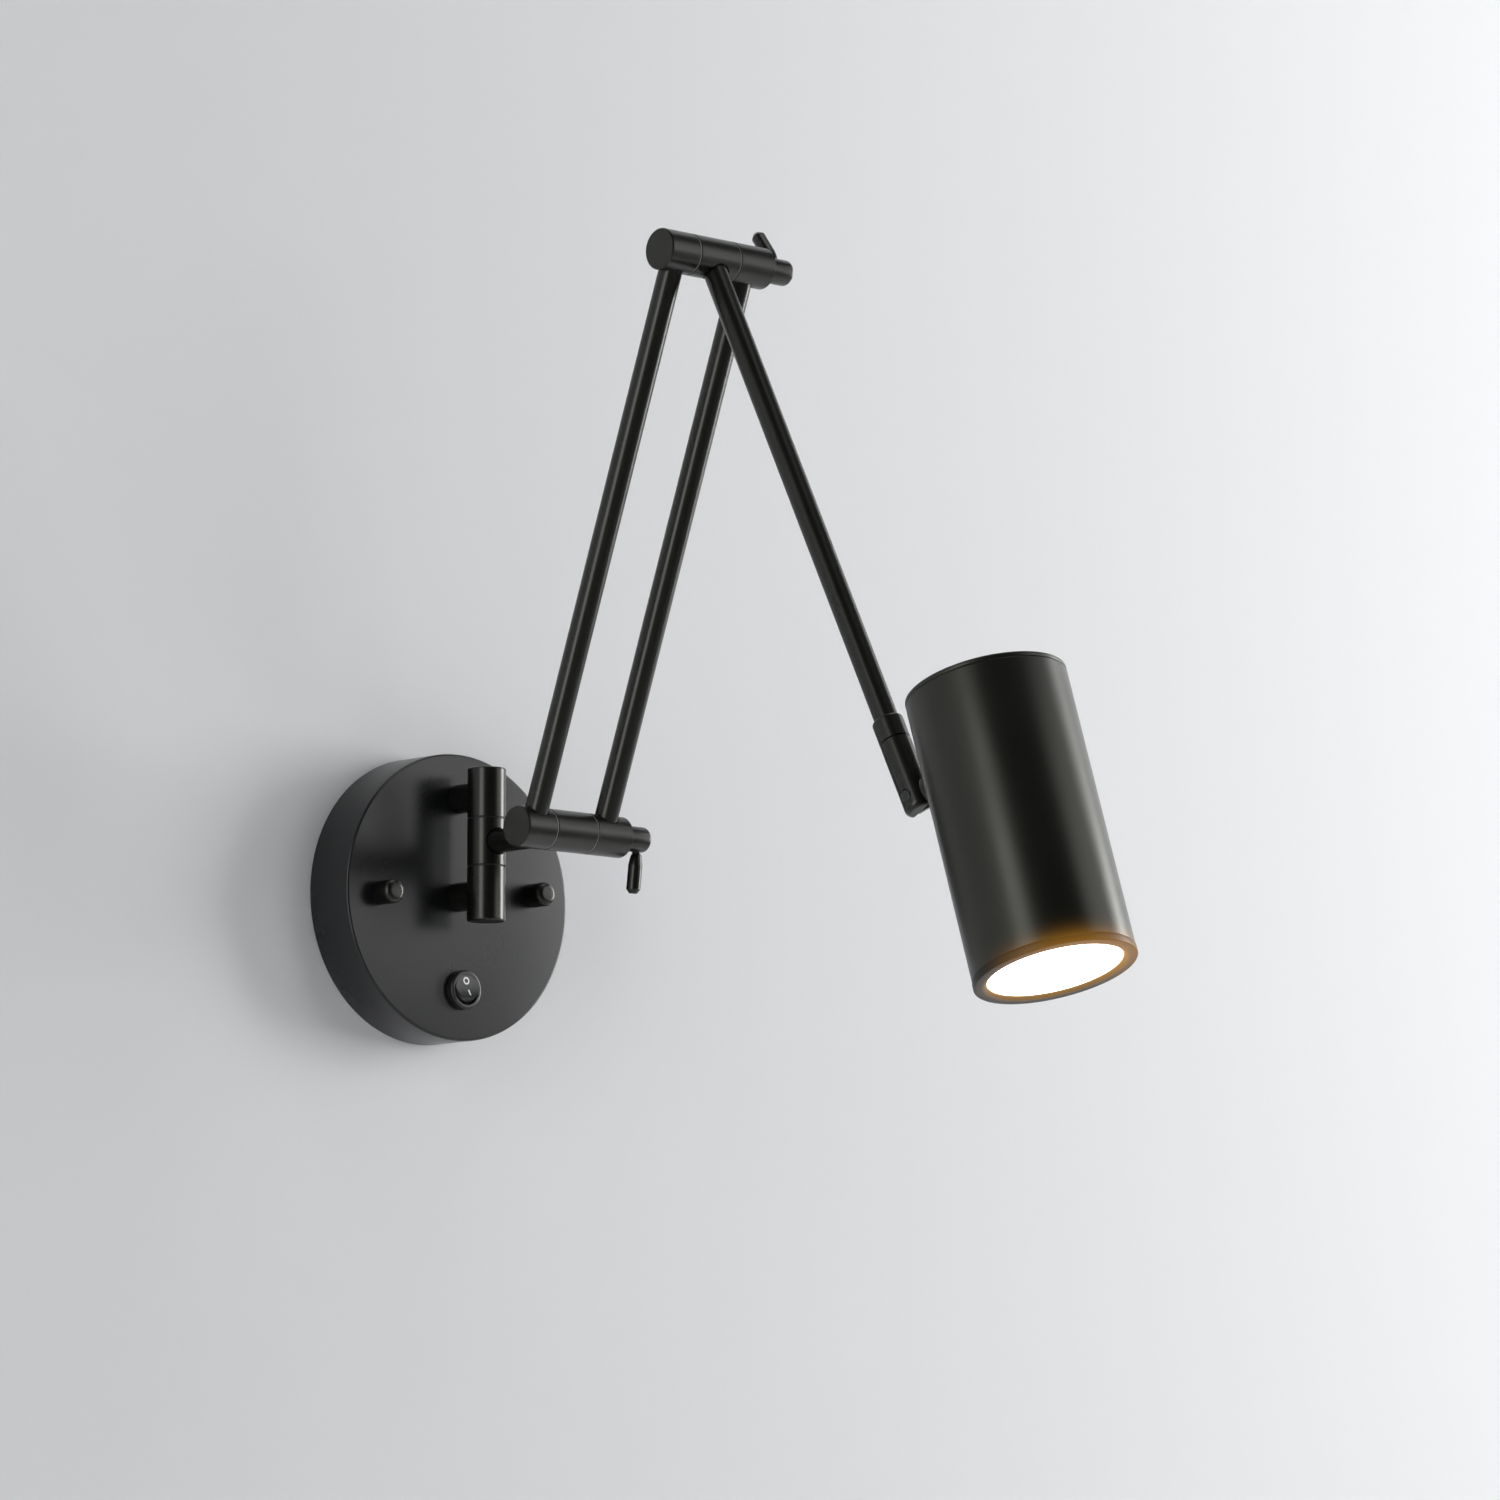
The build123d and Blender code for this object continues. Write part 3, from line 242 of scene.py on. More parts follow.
def rounded_profile(corners: Sequence[Corner], closed: bool) -> list[Vector]:
    """Replaces each corner that has a rounding by an arc.

    Args:
        corners: the profile's corners in order.
        closed: True when the profile is a ring that never meets the axis.

    Returns:
        Points as (radius, height, 0).
    """
    points: list[Vector] = []
    count = len(corners)
    for index, corner in enumerate(corners):
        here = corner.point
        at_end = not closed and index in (0, count - 1)
        if corner.rounding <= 0.0 or at_end:
            points.append(here)
            continue
        back = corners[index - 1].point - here
        ahead = corners[(index + 1) % count].point - here
        half = back.angle(ahead) / 2.0
        longest = min(back.length, ahead.length) * SIDE_SHARE
        reach = min(corner.rounding / math.tan(half), longest)
        back.normalize()
        ahead.normalize()
        centre = here + (back + ahead).normalized() * (reach / math.cos(half))
        first = here + back * reach - centre
        last = here + ahead * reach - centre
        swing = first.angle(last)
        for step in range(ARC_STEPS + 1):
            turned = step / ARC_STEPS * swing
            spoke = first * math.sin(swing - turned) + last * math.sin(turned)
            points.append(centre + spoke / math.sin(swing))
    return points


def turned_mesh(
    name: str, profile: Profile, place: Matrix, segments: int = 96, closed: bool = False
) -> bpy.types.Mesh:
    """Turns a profile about its local Z axis.

    Args:
        name: the mesh's name.
        profile: what each Corner takes, from pole to pole or as a ring.
        place: local frame, from axis_matrix.
        segments: divisions round the axis.
        closed: True when the profile is a ring.

    Returns:
        A closed mesh with outward faces.
    """
    shape = bmesh.new()
    turns = [2.0 * math.pi * index / segments for index in range(segments)]
    rings: list[list[bmesh.types.BMVert]] = []
    for point in rounded_profile([Corner(*row) for row in profile], closed):
        spokes = [(math.cos(turn), math.sin(turn)) for turn in turns]
        if point.x < TINY:
            spokes = [(0.0, 0.0)]
        spots = [Vector((point.x * x, point.x * y, point.y)) for x, y in spokes]
        rings.append([shape.verts.new(place @ spot) for spot in spots])
    pairs = list(zip(rings, rings[1:]))
    if closed:
        pairs.append((rings[-1], rings[0]))
    for low, high in pairs:
        for index in range(segments):
            following = (index + 1) % segments
            steps = ((low, index), (low, following), (high, following), (high, index))
            around = dict.fromkeys(ring[step % len(ring)] for ring, step in steps)
            if len(around) > 2:
                shape.faces.new(tuple(around))
    return finished_mesh(name, shape)


def finished_mesh(name: str, shape: bmesh.types.BMesh) -> bpy.types.Mesh:
    """Turns a closed shape's faces outwards.

    Args:
        name: the mesh's name.
        shape: the shape, which is freed.

    Returns:
        The shape as a mesh.
    """
    bmesh.ops.recalc_face_normals(shape, faces=shape.faces[:])
    mesh = bpy.data.meshes.new(name)
    shape.to_mesh(mesh)
    shape.free()
    return mesh


def new_piece(
    name: str,
    mesh: bpy.types.Mesh,
    material: bpy.types.Material,
    body: Body,
    nodes: Sequence[str] = (),
) -> None:
    """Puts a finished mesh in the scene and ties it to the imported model.

    Args:
        name: the piece's name.
        mesh: its mesh, already in place.
        material: its finish.
        body: the body that it rides on.
        nodes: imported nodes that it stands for.
    """
    mesh.materials.clear()
    mesh.materials.append(material)
    mesh.polygons.foreach_set("use_smooth", [True] * len(mesh.polygons))
    mesh.set_sharp_from_angle(angle=SMOOTH_ANGLE)
    mesh.update()
    piece = bpy.data.objects.new(name, mesh)
    bpy.context.scene.collection.objects.link(piece)
    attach(piece, body.value)
    if nodes:
        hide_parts(*nodes)
    LOG.info("piece %s: %d faces on %s", name, len(mesh.polygons), body.value)


# ---- node trees


class NodeBuilder:
    """Fills a node tree."""

    def __init__(self, tree: bpy.types.NodeTree) -> None:
        """Takes the tree that it fills."""
        self.tree = tree

    def feed(self, node: Node, *entries: Any, **values: Any) -> Node:
        """Gives a node's inputs what they take.

        A socket is linked, a node by its first output, and anything else is set.

        Args:
            node: the node.
            entries: what its first inputs take, in order.
            values: what inputs take by name, with _ for a space.

        Returns:
            The node.
        """
        named = {key.replace("_", " "): value for key, value in values.items()}
        for key, value in (*enumerate(entries), *named.items()):
            if isinstance(value, Node):
                value = next(socket for socket in value.outputs if socket.enabled)
            if isinstance(value, Socket):
                self.tree.links.new(value, node.inputs[key])
            else:
                node.inputs[key].default_value = value
        return node

    def node(self, kind: str, *entries: Any, **values: Any) -> Node:
        """Adds a node.

        Args:
            kind: the node's type, without the prefix that its tree gives.
            entries: what its first inputs take, in order.
            values: its properties by name, and inputs as feed takes them.

        Returns:
            The node.
        """
        made = self.tree.nodes.new(self.tree.bl_idname.removesuffix("Tree") + kind)
        own = [key for key in values if hasattr(made, key)]
        for key in own:
            setattr(made, key, values.pop(key))
        return self.feed(made, *entries, **values)


class GroupBuilder(NodeBuilder):
    """Fills a node group that has named inputs and one output."""

    def __init__(self, name: str, kind: str, output: tuple[str, str], **inputs: str) -> None:
        """Starts a group.

        Args:
            name: the group's name.
            kind: the tree's type.
            output: the output's name and socket kind.
            inputs: each input's socket kind by name.
        """
        super().__init__(bpy.data.node_groups.new(name, kind))
        sides = [("INPUT", *entry) for entry in inputs.items()]
        for side, label, socket in (*sides, ("OUTPUT", *output)):
            self.tree.interface.new_socket(
                name=label, in_out=side, socket_type=f"NodeSocket{socket}"
            )
        self.given = self.tree.nodes.new("NodeGroupInput").outputs
        self.result = self.tree.nodes.new("NodeGroupOutput")


class GeometryTree(GroupBuilder):
    """A Geometry Nodes group that repeats a shape in one material, baked to plain meshes."""

    def __init__(self, name: str, **inputs: str) -> None:
        """Starts a tree with its line of copies, Count of them a Step apart.

        Args:
            name: the group's name.
            inputs: each further input's socket kind by name.
        """
        super().__init__(
            name, "GeometryNodeTree", ("Geometry", "Geometry"),
            Geometry="Geometry", Count="Int", Step="Vector", Material="Material", **inputs,
        )
        self.line = self.node("MeshLine", Count=self.given["Count"], Offset=self.given["Step"])

    def repeat(self, shape: Source) -> None:
        """Ends the tree: a copy at each point, realized and painted.

        Args:
            shape: the geometry that is copied.
        """
        copies = self.node("InstanceOnPoints", Points=self.line, Instance=shape)
        whole = self.node("RealizeInstances", copies)
        painted = self.node("SetMaterial", Geometry=whole, Material=self.given["Material"])
        self.feed(self.result, painted)

    def bake(self, name: str, mesh: bpy.types.Mesh, **values: Any) -> bpy.types.Mesh:
        """Runs the tree on a mesh.

        Args:
            name: the new mesh's name.
            mesh: the geometry that goes in.
            values: the named inputs' values.

        Returns:
            The result as a plain mesh.
        """
        host = bpy.data.objects.new(f"{name}_host", mesh)
        bpy.context.scene.collection.objects.link(host)
        modifier = host.modifiers.new("tree", "NODES")
        modifier.node_group = self.tree
        for item in self.tree.interface.items_tree:
            if item.item_type == "SOCKET" and item.in_out == "INPUT" and item.name in values:
                modifier[item.identifier] = values[item.name]
        depsgraph = bpy.context.evaluated_depsgraph_get()
        baked = bpy.data.meshes.new_from_object(host.evaluated_get(depsgraph))
        baked.name = name
        host.modifiers.remove(modifier)
        bpy.data.objects.remove(host)
        return baked


def copies_tree() -> GeometryTree:
    """Builds the tree that repeats the mesh it runs on.

    Returns:
        The tree.
    """
    tree = GeometryTree("CopiesOnALine")
    tree.repeat(tree.given["Geometry"])
    return tree


def tubes_tree() -> GeometryTree:
    """Builds the tree that draws parallel round tubes of a Radius from a Foot to a Tip.

    Returns:
        The tree.
    """
    tree = GeometryTree("ParallelTubes", Foot="Vector", Tip="Vector", Radius="Float")
    run = tree.node("CurvePrimitiveLine", Start=tree.given["Foot"], End=tree.given["Tip"])
    ring = tree.node("CurvePrimitiveCircle", Resolution=TUBE_SIDES, Radius=tree.given["Radius"])
    tree.repeat(tree.node("CurveToMesh", Curve=run, Profile_Curve=ring, Fill_Caps=True))
    return tree


# ---- finishes


def opaque(tone: Color) -> tuple[float, float, float, float]:
    """Gives a colour with full alpha."""
    return (*tone, 1.0)


class ShaderGroup(GroupBuilder):
    """A shader group around one noise, at a point Vector and of a Scale."""

    def __init__(self, name: str, output: tuple[str, str], **inputs: str) -> None:
        """Starts a group with its further inputs by name."""
        super().__init__(name, "ShaderNodeTree", output, Vector="Vector", Scale="Float", **inputs)

    def noise(self, detail: float, roughness: float = 0.5, at: Node | None = None) -> Node:
        """Adds the noise.

        Args:
            detail: its octaves.
            roughness: how much the fine octaves weigh.
            at: where it is read, instead of at the group's Vector.

        Returns:
            The noise's node.
        """
        return self.node(
            "TexNoise",
            Vector=self.given["Vector"] if at is None else at,
            Scale=self.given["Scale"],
            Detail=detail,
            Roughness=roughness,
        )

    def end(self, value: Node) -> bpy.types.NodeTree:
        """Puts out a value and gives the finished tree."""
        self.feed(self.result, value)
        return self.tree


class ShaderGroups:
    """The node groups that the finishes share, each built once."""

    def __init__(self) -> None:
        """Builds every group."""
        self.grain = self._grain()
        self.drift = self._drift()
        self.dust = self._dust()
        self.brushing = self._brushing()

    @staticmethod
    def _grain() -> bpy.types.NodeTree:
        """Fine orange-peel of a sprayed coat, as a height from 0 to 1."""
        group = ShaderGroup("CoatGrain", ("Height", "Float"))
        return group.end(group.noise(3.0, 0.55))

    @staticmethod
    def _drift() -> bpy.types.NodeTree:
        """Slow drift of a value between two levels, as handling leaves on a coat.

        Returns:
            The group.
        """
        group = ShaderGroup("HandlingDrift", ("Value", "Float"), Low="Float", High="Float")
        spread = group.node(
            "MapRange",
            Value=group.noise(5.0),
            From_Min=0.3,
            From_Max=0.7,
            To_Min=group.given["Low"],
            To_Max=group.given["High"],
        )
        return group.end(spread)

    @staticmethod
    def _dust() -> bpy.types.NodeTree:
        """Sparse pale specks over a base colour.

        Returns:
            The group.
        """
        group = ShaderGroup(
            "SettledDust", ("Color", "Color"), Amount="Float", Base="Color", Speck="Color"
        )
        pick = group.node("MapRange", Value=group.noise(8.0, 0.7), From_Min=0.52, From_Max=0.78)
        share = group.node("Math", pick, group.given["Amount"], operation="MULTIPLY")
        base, speck = group.given["Base"], group.given["Speck"]
        return group.end(group.node("Mix", data_type="RGBA", Factor=share, A=base, B=speck))

    @staticmethod
    def _brushing() -> bpy.types.NodeTree:
        """Drawn or rolled lines along one direction, as a height from 0 to 1.

        Returns:
            The group.
        """
        group = ShaderGroup("DrawnLines", ("Height", "Float"), Stretch="Vector")
        point, stretch = group.given["Vector"], group.given["Stretch"]
        squeeze = group.node("VectorMath", point, stretch, operation="MULTIPLY")
        return group.end(group.noise(4.0, at=squeeze))


class Reading(Enum):
    """What a material can read of a point on the shade, in millimetres."""

    RADIUS = "distance from the shade's axis"
    ALONG = "distance below the shade's top"
    AHEAD = "distance in front of the shade's axis"


class MaterialTree(NodeBuilder):
    """One material's node tree around a Principled shader."""

    def __init__(self, name: str) -> None:
        """Starts a material with its shader and object coordinates.

        Args:
            name: the material's name.
        """
        self.material = bpy.data.materials.new(name)
        self.material.use_nodes = True
        super().__init__(self.material.node_tree)
        self.shader = self.tree.nodes["Principled BSDF"]
        self.output = self.tree.nodes["Material Output"]
        self.coordinates = self.node("TexCoord").outputs["Object"]
        self.readings: dict[Reading, Source] = {}

    def shade(self, **values: Any) -> None:
        """Feeds the shader, by input name with _ for a space."""
        self.feed(self.shader, **values)

    def group(self, tree: bpy.types.NodeTree, **values: Any) -> Node:
        """Places a shared group that reads the object coordinates."""
        return self.node("Group", node_tree=tree, Vector=self.coordinates, **values)

    def read(self, reading: Reading) -> Source:
        """Reads where a point lies on the shade.

        Args:
            reading: what is read.

        Returns:
            What gives it.
        """
        if not self.readings:
            place = axis_matrix(LAYOUT.shade_top, LAYOUT.shade_direction).inverted()
            local = self.node(
                "Mapping",
                Vector=self.coordinates,
                Location=place.to_translation(),
                Rotation=place.to_euler(),
                Scale=place.to_scale(),
            )
            across, ahead, along = self.node("SeparateXYZ", local).outputs
            flat = self.node("CombineXYZ", across, ahead)
            self.readings[Reading.RADIUS] = self.node("VectorMath", flat, operation="LENGTH")
            self.readings[Reading.ALONG] = along
            self.readings[Reading.AHEAD] = ahead
        return self.readings[reading]

    def math(self, operation: str, first: Source, second: Source | float) -> Node:
        """Joins two values by a Math node's operation."""
        return self.node("Math", first, second, operation=operation)

    def ramp(
        self,
        value: Source,
        span: tuple[float, float],
        ends: tuple[float, float],
        smooth: bool = True,
    ) -> Node:
        """Maps a value from one span to another.

        Args:
            value: what is mapped.
            span: its two ends.
            ends: what comes out at those ends.
            smooth: False for a straight slope.

        Returns:
            The mapped value.
        """
        slope = "SMOOTHSTEP" if smooth else "LINEAR"
        return self.node("MapRange", value, *span, *ends, interpolation_type=slope)

    def bump(self, height: Node, strength: float, depth: float) -> None:
        """Feeds a height from 0 to 1, which is depth metres, to the shader's normal."""
        bump = self.node("Bump", Height=height, Strength=strength, Distance=depth)
        self.shade(Normal=bump)


@dataclass(frozen=True)
class PaintedGlow:
    """Painted light: a warm glow, drawn as emission on the coat beside the lit disc."""

    tone: Color
    reading: Reading
    start: float
    end: float
    strength: float
    falloff: float = 1.0
    # front_only keeps the painted glow to the shade's side that faces away from the wall
    front_only: bool = False
    front_span: tuple[float, float] = (-12.0, 30.0)

    def paint(self, made: MaterialTree) -> Node:
        """Paints the glow, full at the start of its span and none at the end.

        Args:
            made: the material that it is painted in.

        Returns:
            The glow's colour.
        """
        share = made.ramp(made.read(self.reading), (self.start, self.end), (1.0, 0.0), False)
        level = made.math("POWER", share, self.falloff)
        if self.front_only:
            front = made.ramp(made.read(Reading.AHEAD), self.front_span, (0.0, 1.0))
            level = made.math("MULTIPLY", level, front)
        full = [part * self.strength for part in self.tone]
        return made.node("VectorMath", full, operation="SCALE", Scale=level)


@dataclass(frozen=True)
class Finish:
    """What the plain finishes share: specks over a colour, and a drifting roughness."""

    name: str
    base: Color
    speck: Color
    low: float
    high: float

    def start(
        self, groups: ShaderGroups, speck_scale: float, amount: float, drift_scale: float
    ) -> MaterialTree:
        """Starts the material from the shared groups.

        Args:
            groups: the shared groups.
            speck_scale: how fine the specks are.
            amount: how strongly they show.
            drift_scale: how fine the roughness drifts.

        Returns:
            The material's tree.
        """
        made = MaterialTree(self.name)
        dust = made.group(
            groups.dust,
            Scale=speck_scale,
            Amount=amount,
            Base=opaque(self.base),
            Speck=opaque(self.speck),
        )
        drift = made.group(groups.drift, Scale=drift_scale, Low=self.low, High=self.high)
        made.shade(Base_Color=dust, Roughness=drift)
        return made


@dataclass(frozen=True)
class PowderCoat(Finish):
    """Sprayed matt black coat on metal, which can carry painted glows as emission."""

    dust: float = 0.25
    specular: float = 0.5
    painted_glows: tuple[PaintedGlow, ...] = ()
    tint: Color = (1.0, 1.0, 1.0)

    def build(self, groups: ShaderGroups) -> bpy.types.Material:
        """Builds the material.

        Args:
            groups: the shared groups.

        Returns:
            The finished material.
        """
        made = self.start(groups, speck_scale=420.0, amount=self.dust, drift_scale=28.0)
        made.shade(
            Metallic=0.0, Specular_IOR_Level=self.specular, Specular_Tint=opaque(self.tint)
        )
        # Painted light: the glows are added together into the coat's emission.
        glows = [spill.paint(made) for spill in self.painted_glows]
        while len(glows) > 1:
            glows.append(made.node("VectorMath", glows.pop(), glows.pop()))
        if glows:
            made.shade(Emission_Color=glows[0], Emission_Strength=1.0)
        made.bump(made.group(groups.grain, Scale=1400.0), strength=0.12, depth=0.00003)
        return made.material


@dataclass(frozen=True)
class BareMetal(Finish):
    """Plated, drawn or cast metal left uncoated."""

    stretch: Triple = (1.0, 1.0, 8.0)

    def build(self, groups: ShaderGroups) -> bpy.types.Material:
        """Builds the material.

        Args:
            groups: the shared groups.

        Returns:
            The finished material.
        """
        made = self.start(groups, speck_scale=160.0, amount=0.6, drift_scale=60.0)
        made.shade(Metallic=1.0)
        lines = made.group(groups.brushing, Stretch=self.stretch, Scale=260.0)
        made.bump(lines, strength=0.2, depth=0.00004)
        return made.material


@dataclass(frozen=True)
class MouldedPlastic(Finish):
    """Moulded plastic with a fine spark texture."""

    coat: float = 0.0

    def build(self, groups: ShaderGroups) -> bpy.types.Material:
        """Builds the material.

        Args:
            groups: the shared groups.

        Returns:
            The finished material.
        """
        made = self.start(groups, speck_scale=300.0, amount=0.3, drift_scale=90.0)
        made.shade(Metallic=0.0, Coat_Weight=self.coat, Coat_Roughness=0.15)
        made.bump(made.group(groups.grain, Scale=2600.0), strength=0.2, depth=0.00002)
        return made.material


@dataclass(frozen=True)
class LitDiffuser:
    """Opal diffuser: white in the middle, warmer towards its rim."""

    name: str
    centre: Color
    rim: Color
    strength: float
    radius: float
    warm_from: float = 0.93
    base: Color = (0.85, 0.83, 0.78)

    def build(self, groups: ShaderGroups) -> bpy.types.Material:
        """Builds the material, with its glow centred on the shade's axis.

        Args:
            groups: the shared groups.

        Returns:
            The finished material.
        """
        made = MaterialTree(self.name)
        made.shade(
            Base_Color=opaque(self.base), Roughness=0.45, Emission_Strength=self.strength
        )
        span = (self.radius * self.warm_from, self.radius)
        blend = made.node(
            "Mix",
            data_type="RGBA",
            Factor=made.ramp(made.read(Reading.RADIUS), span, (0.0, 1.0)),
            A=opaque(self.centre),
            B=opaque(self.rim),
        )
        made.shade(Emission_Color=blend)
        made.bump(made.group(groups.grain, Scale=900.0), strength=0.1, depth=0.00003)
        return made.material


@dataclass
class Finishes:
    """Every finish that the lamp wears, built once."""

    groups: ShaderGroups = field(default_factory=ShaderGroups)
    made: dict[str, bpy.types.Material] = field(default_factory=dict)

    def __post_init__(self) -> None:
        """Builds all materials."""
        # Painted light: warm glows drawn as emission on the shade's skin near its rim and on the
        # bezel's edge, lip and face, standing in for the halo round the lit disc.
        amber = (1.0, 0.44, 0.03)
        skin_glow = PaintedGlow(amber, Reading.ALONG, 119.1, 102.5, 0.40, 4.5, True)
        edge_glow = PaintedGlow(amber, Reading.ALONG, 119.1, 112.0, 0.22, 1.0, True)
        inner_glow = PaintedGlow((1.0, 0.45, 0.02), Reading.RADIUS, 26.4, 29.0, 0.22)
        face_glow = PaintedGlow((0.62, 0.48, 0.34), Reading.RADIUS, 26.4, 31.8, 0.10, 0.6)
        recipes = (
            PowderCoat(
                "black_coat", (0.0034, 0.0036, 0.0032), (0.007, 0.007, 0.006), 0.27, 0.30,
                dust=0.1, tint=(0.99, 1.0, 0.92),
            ),
            PowderCoat(
                "canopy_coat", (0.0055, 0.0060, 0.0070), (0.009, 0.009, 0.010), 0.27, 0.29,
                dust=0.08,
            ),
            PowderCoat(
                "shade_coat", (0.0050, 0.0054, 0.0040), (0.010, 0.010, 0.008), 0.32, 0.37,
                painted_glows=(skin_glow,), tint=(0.98, 1.0, 0.88),
            ),
            PowderCoat(
                "bezel_coat", (0.012, 0.010, 0.008), (0.02, 0.018, 0.015), 0.38, 0.45,
                specular=0.22, painted_glows=(edge_glow, inner_glow, face_glow),
            ),
            PowderCoat("black_screw", (0.014, 0.014, 0.015), (0.03, 0.03, 0.03), 0.26, 0.33),
            BareMetal("zinc_plate", (0.62, 0.62, 0.60), (0.45, 0.44, 0.42), 0.28, 0.45),
            BareMetal("plain_brass", (0.72, 0.55, 0.25), (0.50, 0.36, 0.16), 0.25, 0.42),
            BareMetal("spun_reflector", (0.88, 0.86, 0.82), (0.8, 0.78, 0.74), 0.12, 0.2),
            BareMetal("cast_aluminium", (0.60, 0.60, 0.61), (0.48, 0.48, 0.49), 0.4, 0.55),
            MouldedPlastic("white_plastic", (0.80, 0.80, 0.78), (0.7, 0.69, 0.66), 0.4, 0.5),
            MouldedPlastic("switch_plastic", (0.010, 0.010, 0.011), (0.02, 0.02, 0.02), 0.3, 0.38),
            MouldedPlastic(
                "rocker_plastic", (0.016, 0.017, 0.019), (0.03, 0.03, 0.03), 0.28, 0.34, coat=0.2
            ),
            MouldedPlastic("washer_plastic", (0.03, 0.03, 0.03), (0.06, 0.06, 0.06), 0.5, 0.6),
            MouldedPlastic("slip_washer", (0.30, 0.30, 0.29), (0.2, 0.2, 0.2), 0.4, 0.5),
            MouldedPlastic("mark_paint", (0.85, 0.85, 0.84), (0.7, 0.7, 0.7), 0.4, 0.5),
            LitDiffuser("lit_diffuser", (1.0, 0.97, 0.90), (1.0, 0.72, 0.38), 6.0, 27.0),
        )
        for recipe in recipes:
            self.made[recipe.name] = recipe.build(self.groups)
            LOG.info("finish %s", recipe.name)

    def __getitem__(self, name: str) -> bpy.types.Material:
        """Gives a finish by its name."""
        return self.made[name]


# ---- sub-assemblies


@dataclass
class Assembly:
    """What every sub-assembly works with."""

    frame: dict[str, Any]
    finishes: Finishes

    def dress(self, **worn: Sequence[str]) -> None:
        """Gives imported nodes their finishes.

        Args:
            worn: the nodes that wear each finish, by the finish's name.
        """
        for finish, nodes in worn.items():
            for node in nodes:
                packed = self.frame["nodes"][node]
                if not packed.material_slots:
                    packed.data.materials.append(self.finishes[finish])
                for slot in packed.material_slots:
                    slot.material = self.finishes[finish]
                LOG.info("node %s wears %s", node, finish)


@dataclass
class Canopy(Assembly):
    """The round shell on the wall, its fixings and what it hides."""

    radius: float = 60.0
    wall: float = 1.2
    edge: float = 1.0
    corner: float = 0.4
    nut_radius: float = 5.0
    nut_shank: float = 5.9
    nut_flat: float = 0.1
    nut_place: float = 41.5
    nut_shift: tuple[float, float] = (-1.0, 1.2)

    def build(self, copies: GeometryTree) -> None:
        """Builds the shell and cap nuts, and dresses the hidden fixings.

        Args:
            copies: the tree that repeats the nut.
        """
        depth = LAYOUT.canopy_depth
        inner = self.radius - self.wall
        shell = (
            (0.0, depth),
            (self.radius, depth, self.edge),
            (self.radius, 0.0, EASED),
            (inner, 0.0, EASED),
            (inner, depth - self.wall, self.corner),
            (0.0, depth - self.wall),
        )
        place = axis_matrix(Vector(), FORWARD)
        mesh = turned_mesh("canopy_shell", shell, place, segments=192)
        coat = self.finishes["canopy_coat"]
        new_piece("canopy_shell", mesh, coat, Body.BASE, ["canopy"])
        level, upright = turned_axes(LAYOUT.fixing_turn)
        start = level * (self.nut_shift[0] - self.nut_place) + FORWARD * depth
        start += upright * self.nut_shift[1]
        top = self.nut_shank + self.nut_radius - self.nut_flat
        nut = (
            (0.0, 0.0),
            (self.nut_radius, 0.0, EASED),
            (self.nut_radius, top, self.nut_radius - 2.0 * self.nut_flat),
            (0.0, top),
        )
        coat = self.finishes["black_coat"]
        pair = copies.bake(
            "cap_nuts_pair",
            turned_mesh("cap_nut", nut, axis_matrix(start, FORWARD), segments=64),
            Count=2,
            Step=level * (2.0 * self.nut_place * MM),
            Material=coat,
        )
        new_piece("cap_nuts_pair", pair, coat, Body.BASE, ["cap_nuts"])
        self.dress(
            zinc_plate=("mounting_bracket", "canopy_studs", "stud_nuts", "post_nuts"),
            plain_brass=("earth_screw",),
            white_plastic=("led_driver", "terminal_block"),
        )


@dataclass
class RockerSwitch(Assembly):
    """The round rocker switch below the canopy's centre, with its two marks."""

    crown: float = 5.0
    dish: float = 0.7
    half: float = 5.1
    tilt: float = 15.0
    pin_depth: float = 0.3
    mark_place: float = 2.6
    mark_sink: float = 0.05
    mark_rise: float = 0.045
    ring: tuple[float, float] = (1.6, 0.95)
    ring_points: int = 48
    bar: tuple[float, float] = (0.36, 1.25)

    def _mark(self, name: str, *rings: Sequence[tuple[float, float]]) -> None:
        """Adds a thin painted mark on the rocker's dished face.

        Args:
            name: the mark's name.
            rings: local points of the outline, then of a hole if it has one.
        """
        right, up = turned_axes(LAYOUT.switch_turn)
        tilt = math.radians(self.tilt)
        origin = LAYOUT.switch + FORWARD * (LAYOUT.canopy_depth - self.pin_depth)
        place = axis_matrix(origin, FORWARD * math.cos(tilt) + up * math.sin(tilt), right)
        shape = bmesh.new()
        layers = []
        for lift in (-self.mark_sink, self.mark_rise):
            level = self.crown - self.dish + lift
            layers.append([
                [
                    shape.verts.new(
                        place @ Vector((x, y, level + self.dish * (y / self.half) ** 2))
                    )
                    for x, y in ring
                ]
                for ring in rings
            ])
        low, high = layers
        sides = [(low[0], high[0])]
        if len(rings) > 1:
            sides += [(high[0], high[1]), (low[1], low[0]), (high[1], low[1])]
        else:
            shape.faces.new(high[0])
            shape.faces.new(low[0][::-1])
        for near, far in sides:
            for step in range(len(near)):
                after = (step + 1) % len(near)
                shape.faces.new((near[step], near[after], far[after], far[step]))
        paint = self.finishes["mark_paint"]
        new_piece(name, finished_mesh(name, shape), paint, Body.ROCKER)

    def build(self) -> None:
        """Makes the marks, and dresses the moulded pieces and the terminals."""
        turns = [2.0 * math.pi * step / self.ring_points for step in range(self.ring_points)]
        rings = [
            [(size * math.cos(turn), self.mark_place + size * math.sin(turn)) for turn in turns]
            for size in self.ring
        ]
        self._mark("mark_off", *rings)
        wide, tall = self.bar
        right_side = [(wide, y - self.mark_place) for y in (-tall, 0.0, tall)]
        left_side = [(-x, y) for x, y in right_side]
        self._mark("mark_on", [left_side[0], *right_side, *left_side[:0:-1]])
        self.dress(
            switch_plastic=("switch_body",),
            rocker_plastic=("switch_rocker",),
            plain_brass=("switch_terminals",),
            zinc_plate=("rocker_pin",),
        )


